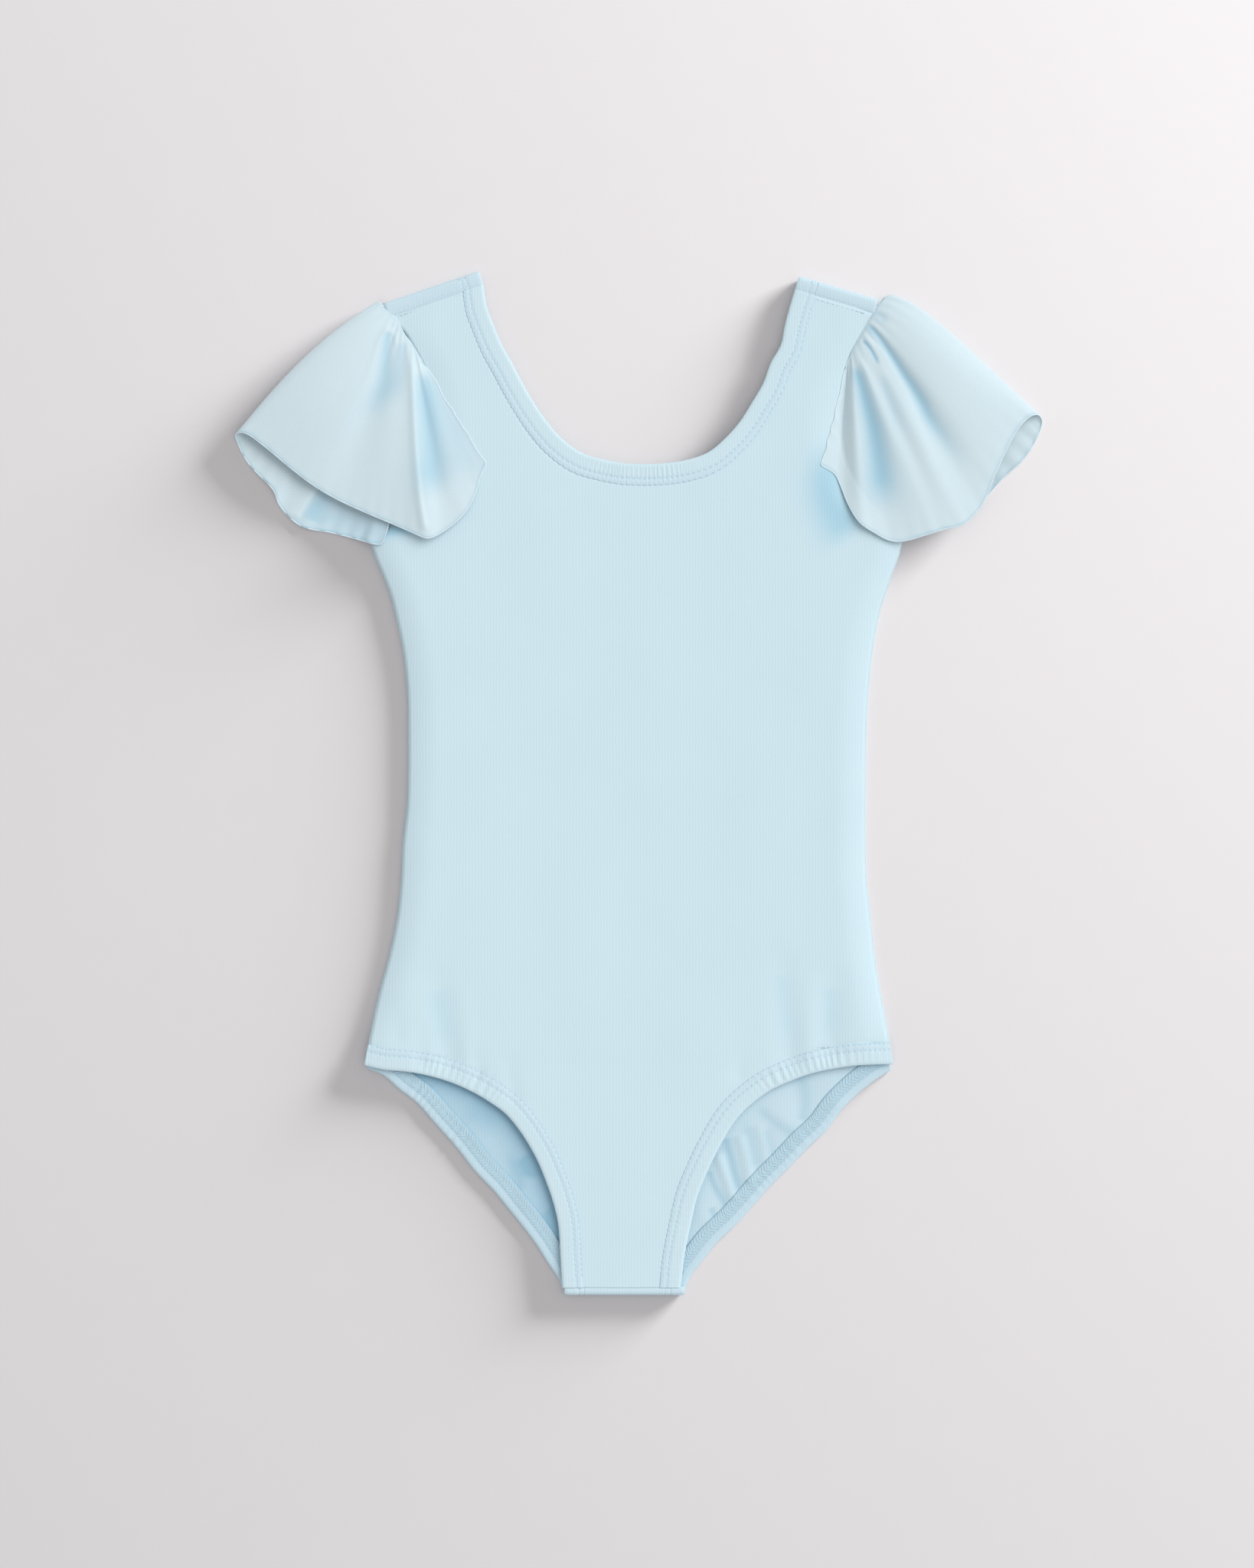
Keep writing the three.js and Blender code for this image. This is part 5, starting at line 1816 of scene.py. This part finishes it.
    def build(self, wardrobe: Wardrobe) -> list[bpy.types.Object]:
        """Makes the sleeve, its rolled hem and its armhole seam.

        The flat cloth is as wide as the row of points two thirds of the way down.

        Args:
            wardrobe: The finishes.

        Returns:
            The sleeve and the pieces on it.
        """
        name = f"sleeve_{self.side.value}"
        grid = self.surface()
        mesh = ClothMesh(self.side is Side.LEFT)
        across = run_length(grid[len(grid) * 2 // 3])
        uv = np.dstack(np.meshgrid(across, np.linspace(0, self.flat_length, len(grid))))
        mesh.join(mesh.add(grid, self.half_wall, self.half_wall, uv, self.deeper(grid)))
        sleeve = carry(mesh.wall(f"{name}_cloth", wardrobe[Finish.SHEER]), "sheer_mesh", name)
        loose = np.vstack([grid[1:-1:2, 0], grid[-1, ::2], grid[-2:0:-2, -1]])
        rolled = carry(tubes(f"{name}_rolled_hem", self.lifted(loose, self.rolled_radius),
                             self.rolled_radius, wardrobe[Finish.ROLLED_HEM],
                             self.roll_sides), "sheer_mesh")
        seam = carry(tubes(f"{name}_armhole_seam", self.lifted(grid[0, ::2], self.seam_radius),
                           self.seam_radius, wardrobe[Finish.ROLLED_HEM],
                           self.roll_sides), "thread")
        return [sleeve, rolled, seam]

    def lifted(self, line: np.ndarray, radius: float) -> np.ndarray:
        """A smoothed path along an edge, high enough for a roll.

        Three times over, each point moves to the average of itself, taken twice, and its
        two neighbours.

        Args:
            line: Points of the edge.
            radius: The roll's radius.

        Returns:
            The path, 1 by points by 3.
        """
        path = line.copy()
        for _ in range(3):
            path[1:-1] = (path[:-2] + 2 * path[1:-1] + path[2:]) / 4
        path[:, 2] = np.maximum(path[:, 2], radius)
        return path[None]


@dataclass
class Leotard:
    """The whole garment.

    The shoulder seams' rows of stitches are seam_rows below the fold, and strip_stitches
    says how far down the neck's rows have a stitch on the turned strip.
    """

    neck_gathers: Gathers = Gathers(2.0, 0.24, 0.42, 0.58, 0.1, 2.5)
    seam_rows: tuple[float, float] = (SHOULDER_TURN - 1.3, SHOULDER_TURN + 1.6)
    seam_level: float = 4.5
    strip_stitches: tuple[float, float] = (1.4, 3.9)
    strip_level: float = 4.42
    wardrobe: Wardrobe = field(default_factory=Wardrobe)

    def hems(self) -> tuple[Hem, Hem, dict[Side, Hem], dict[Side, Hem]]:
        """Lays out the hems.

        Returns:
            The neck's front and back hems, and the legs' front and back hems by side.
        """
        front_neck = Hem("neck_hem_front_band", Edge.neck(FRONT_NECK, SHOULDER_TURN), FRONT_HEM,
                         self.neck_gathers, inside_shows=False, flip=True)
        back_neck = Hem("neck_hem_back_band", Edge.neck(BACK_NECK, SHOULDER_FOOT), BACK_HEM,
                        self.neck_gathers, inside_shows=True, flip=False, step=1.2,
                        turns=tuple(Turn.shoulder(side) for side in Side))
        front_leg = {
            side: Hem(f"leg_hem_front_{side.value}_band", Edge.leg(FRONT_LEG, side), FRONT_HEM,
                      LEG_GATHERS[side], inside_shows=False, flip=side is Side.RIGHT)
            for side in Side}
        back_leg = {
            side: Hem(f"leg_hem_back_{side.value}_band", Edge.leg(BACK_LEG, side), BACK_HEM,
                      INSIDE_GATHERS[side], inside_shows=True, flip=side is Side.LEFT,
                      turns=(Turn.crotch(),))
            for side in Side}
        return front_neck, back_neck, front_leg, back_leg

    def build(self) -> None:
        front_neck, back_neck, front_leg, back_leg = self.hems()
        w = self.wardrobe
        back = Panel("back_panel_cloth", "back_panel", back_neck, back_leg, SHOULDER_FOOT,
                     back=True).build(w)
        front = Panel("front_panel_cloth", "front_panel", front_neck, front_leg,
                      SHOULDER_TURN).build(w)
        on_front = [front_neck.build(w, "neck_hem_front"), front_neck.stitches(w)]
        on_back = [back_neck.build(w, "neck_hem_back")]
        for side in Side:
            on_front += [front_leg[side].build(w, f"leg_hem_front_{side.value}"),
                         front_leg[side].stitches(w)]
            on_back += [back_leg[side].build(w, f"leg_hem_back_{side.value}"),
                        back_leg[side].looper(w),
                        back_leg[side].stitches(w, INSIDE_STITCH_ROWS)]
        on_front.append(self.shoulder_stitches())
        for flutter in (FlutterSleeve(Side.LEFT, LEFT_SLEEVE, LEFT_TOP, LEFT_UNDER,
                                      skew=0.85, rising=3.4),
                        FlutterSleeve(Side.RIGHT, RIGHT_SLEEVE, RIGHT_TOP, (),
                                      skew=0.45, rising=6.5)):
            sleeve, *trims = flutter.build(w)

    def shoulder_stitches(self) -> bpy.types.Object:
        """Two rows of stitches along each shoulder seam, and the neck's two over its strip.

        Returns:
            The piece.
        """
        parts = []
        for side in Side:
            shoulder = Shoulder(side)
            along = stitch_places(shoulder.width)[:, None] + STITCH_ALONG
            down = np.array(self.strip_stitches)[:, None] + STITCH_ALONG
            parts += [shoulder.stitches(along, row, self.seam_level) for row in self.seam_rows]
            parts += [shoulder.stitches(row, down, self.strip_level) for row in STITCH_ROWS]
        return carry(tubes("shoulder_stitches", np.vstack(parts), THREAD_RADIUS,
                           self.wardrobe[Finish.THREAD]), "thread")


@dataclass
class Studio:
    """The pale floor, the soft light and the camera straight above, in metres and watts.

    "centre" is the middle of the picture, and "middle" the height in the garment that the
    camera's distance is from.
    """

    frame_height: float = 0.768
    distance: float = 2.4
    middle: float = 0.005
    centre: tuple[float, float] = (-0.00572, -0.00048)
    sensor: float = 36.0
    far: float = 20.0
    floor_half: float = 3.0
    floor_colour: tuple[float, float, float] = (225, 222, 223)
    floor_grain: float = 60.0
    floor_roughness: float = 0.9
    floor_specular: float = 0.2
    sky: float = 0.59
    sky_colour: tuple[float, float, float, float] = (1.0, 0.99, 1.0, 1.0)
    key_place: tuple[float, float, float] = (1.5, 0.9, 1.7)
    key_strength: float = 1.85
    key_spread: float = math.radians(50)
    rake_place: tuple[float, float, float] = (2.7, 2.0, 0.44)
    rake_power: float = 400.0
    rake_size: tuple[float, float] = (1.4, 0.7)

    def build(self) -> None:
        """Makes the floor, the lights and the camera.

        The key is even over the cloth. The rake is a low soft light on the floor alone, which
        gives the wide soft shadow on the left.
        """
        cloth = [piece for piece in bpy.context.scene.objects if piece.type == "MESH"]
        floor = self.make_floor()
        key = self.make_light("key", "SUN", self.key_place, self.key_strength)
        key.data.angle = self.key_spread
        rake = self.make_light("rake", "AREA", self.rake_place, self.rake_power)
        rake.data.shape, (rake.data.size, rake.data.size_y) = "RECTANGLE", self.rake_size
        self.fall_on(key, cloth)
        self.fall_on(rake, [floor])
        world = bpy.data.worlds.new("studio")
        bpy.context.scene.world = world
        world.use_nodes = True
        background = world.node_tree.nodes["Background"]
        background.inputs["Color"].default_value = self.sky_colour
        background.inputs["Strength"].default_value = self.sky
        self.make_camera()
        bpy.context.scene.view_settings.view_transform = "Standard"

    def fall_on(self, light: bpy.types.Object, objects: list[bpy.types.Object]) -> None:
        """Lets a light fall on some objects only. All of them cast its shadows.

        Args:
            light: The light.
            objects: The objects that it falls on.
        """
        receivers = bpy.data.collections.new(f"lit_by_{light.name}")
        for piece in objects:
            receivers.objects.link(piece)
        light.light_linking.receiver_collection = receivers

    def make_floor(self) -> bpy.types.Object:
        """A flat floor just under the cloth, in matt paint with a faint grain.

        Returns:
            The floor.
        """
        half = self.floor_half
        mesh = bpy.data.meshes.new("floor")
        mesh.from_pydata([(-half, -half, 0), (half, -half, 0), (half, half, 0), (-half, half, 0)],
                         [], [(0, 1, 2, 3)])
        floor = bpy.data.objects.new("floor", mesh)
        bpy.context.scene.collection.objects.link(floor)
        material = bpy.data.materials.new("floor_paint")
        material.use_nodes = True
        n = Nodes(material.node_tree)
        shader = material.node_tree.nodes["Principled BSDF"]
        place = n.new("ShaderNodeTexCoord").outputs["Object"]
        grain = n.math("MULTIPLY", n.noise(place, self.floor_grain, 4.0), 0.5)
        lighter, darker = (tuple(c + d for c in self.floor_colour) for d in (1.0, -2.0))
        material.node_tree.links.new(n.mix(grain, linear(*lighter), linear(*darker)),
                                     shader.inputs["Base Color"])
        shader.inputs["Roughness"].default_value = self.floor_roughness
        shader.inputs["Specular IOR Level"].default_value = self.floor_specular
        mesh.materials.append(material)
        return floor

    def make_light(self, name: str, kind: str, place: tuple[float, float, float],
                   strength: float) -> bpy.types.Object:
        """A light aimed at the leotard's middle.

        It is tilted from upright by its angle from overhead, towards its own bearing.

        Args:
            name: Its name.
            kind: SUN or AREA.
            place: Where it stands, in metres.
            strength: Watts, or watts a square metre for a sun.

        Returns:
            The light.
        """
        data = bpy.data.lights.new(name, kind)
        data.energy = strength
        light = bpy.data.objects.new(name, data)
        light.location = place
        x, y, z = place
        light.rotation_euler = (math.atan2(math.hypot(x, y), z), 0, math.atan2(y, x) + math.pi / 2)
        bpy.context.scene.collection.objects.link(light)
        return light

    def make_camera(self) -> None:
        """A long lens straight above, with the shoulders at the top of the picture."""
        data = bpy.data.cameras.new("camera")
        data.sensor_fit, data.sensor_width = "AUTO", self.sensor
        data.lens = data.sensor_width * self.distance / self.frame_height
        data.clip_end = self.far
        camera = bpy.data.objects.new("camera", data)
        camera.location = (*self.centre, self.distance + self.middle)
        bpy.context.scene.collection.objects.link(camera)
        bpy.context.scene.camera = camera


def main() -> None:
    """Dresses the leotard and sets the studio round it."""
    logging.basicConfig(level=logging.INFO, format="%(message)s")
    Leotard().build()
    Studio().build()


if __name__ == "__main__":
    main()
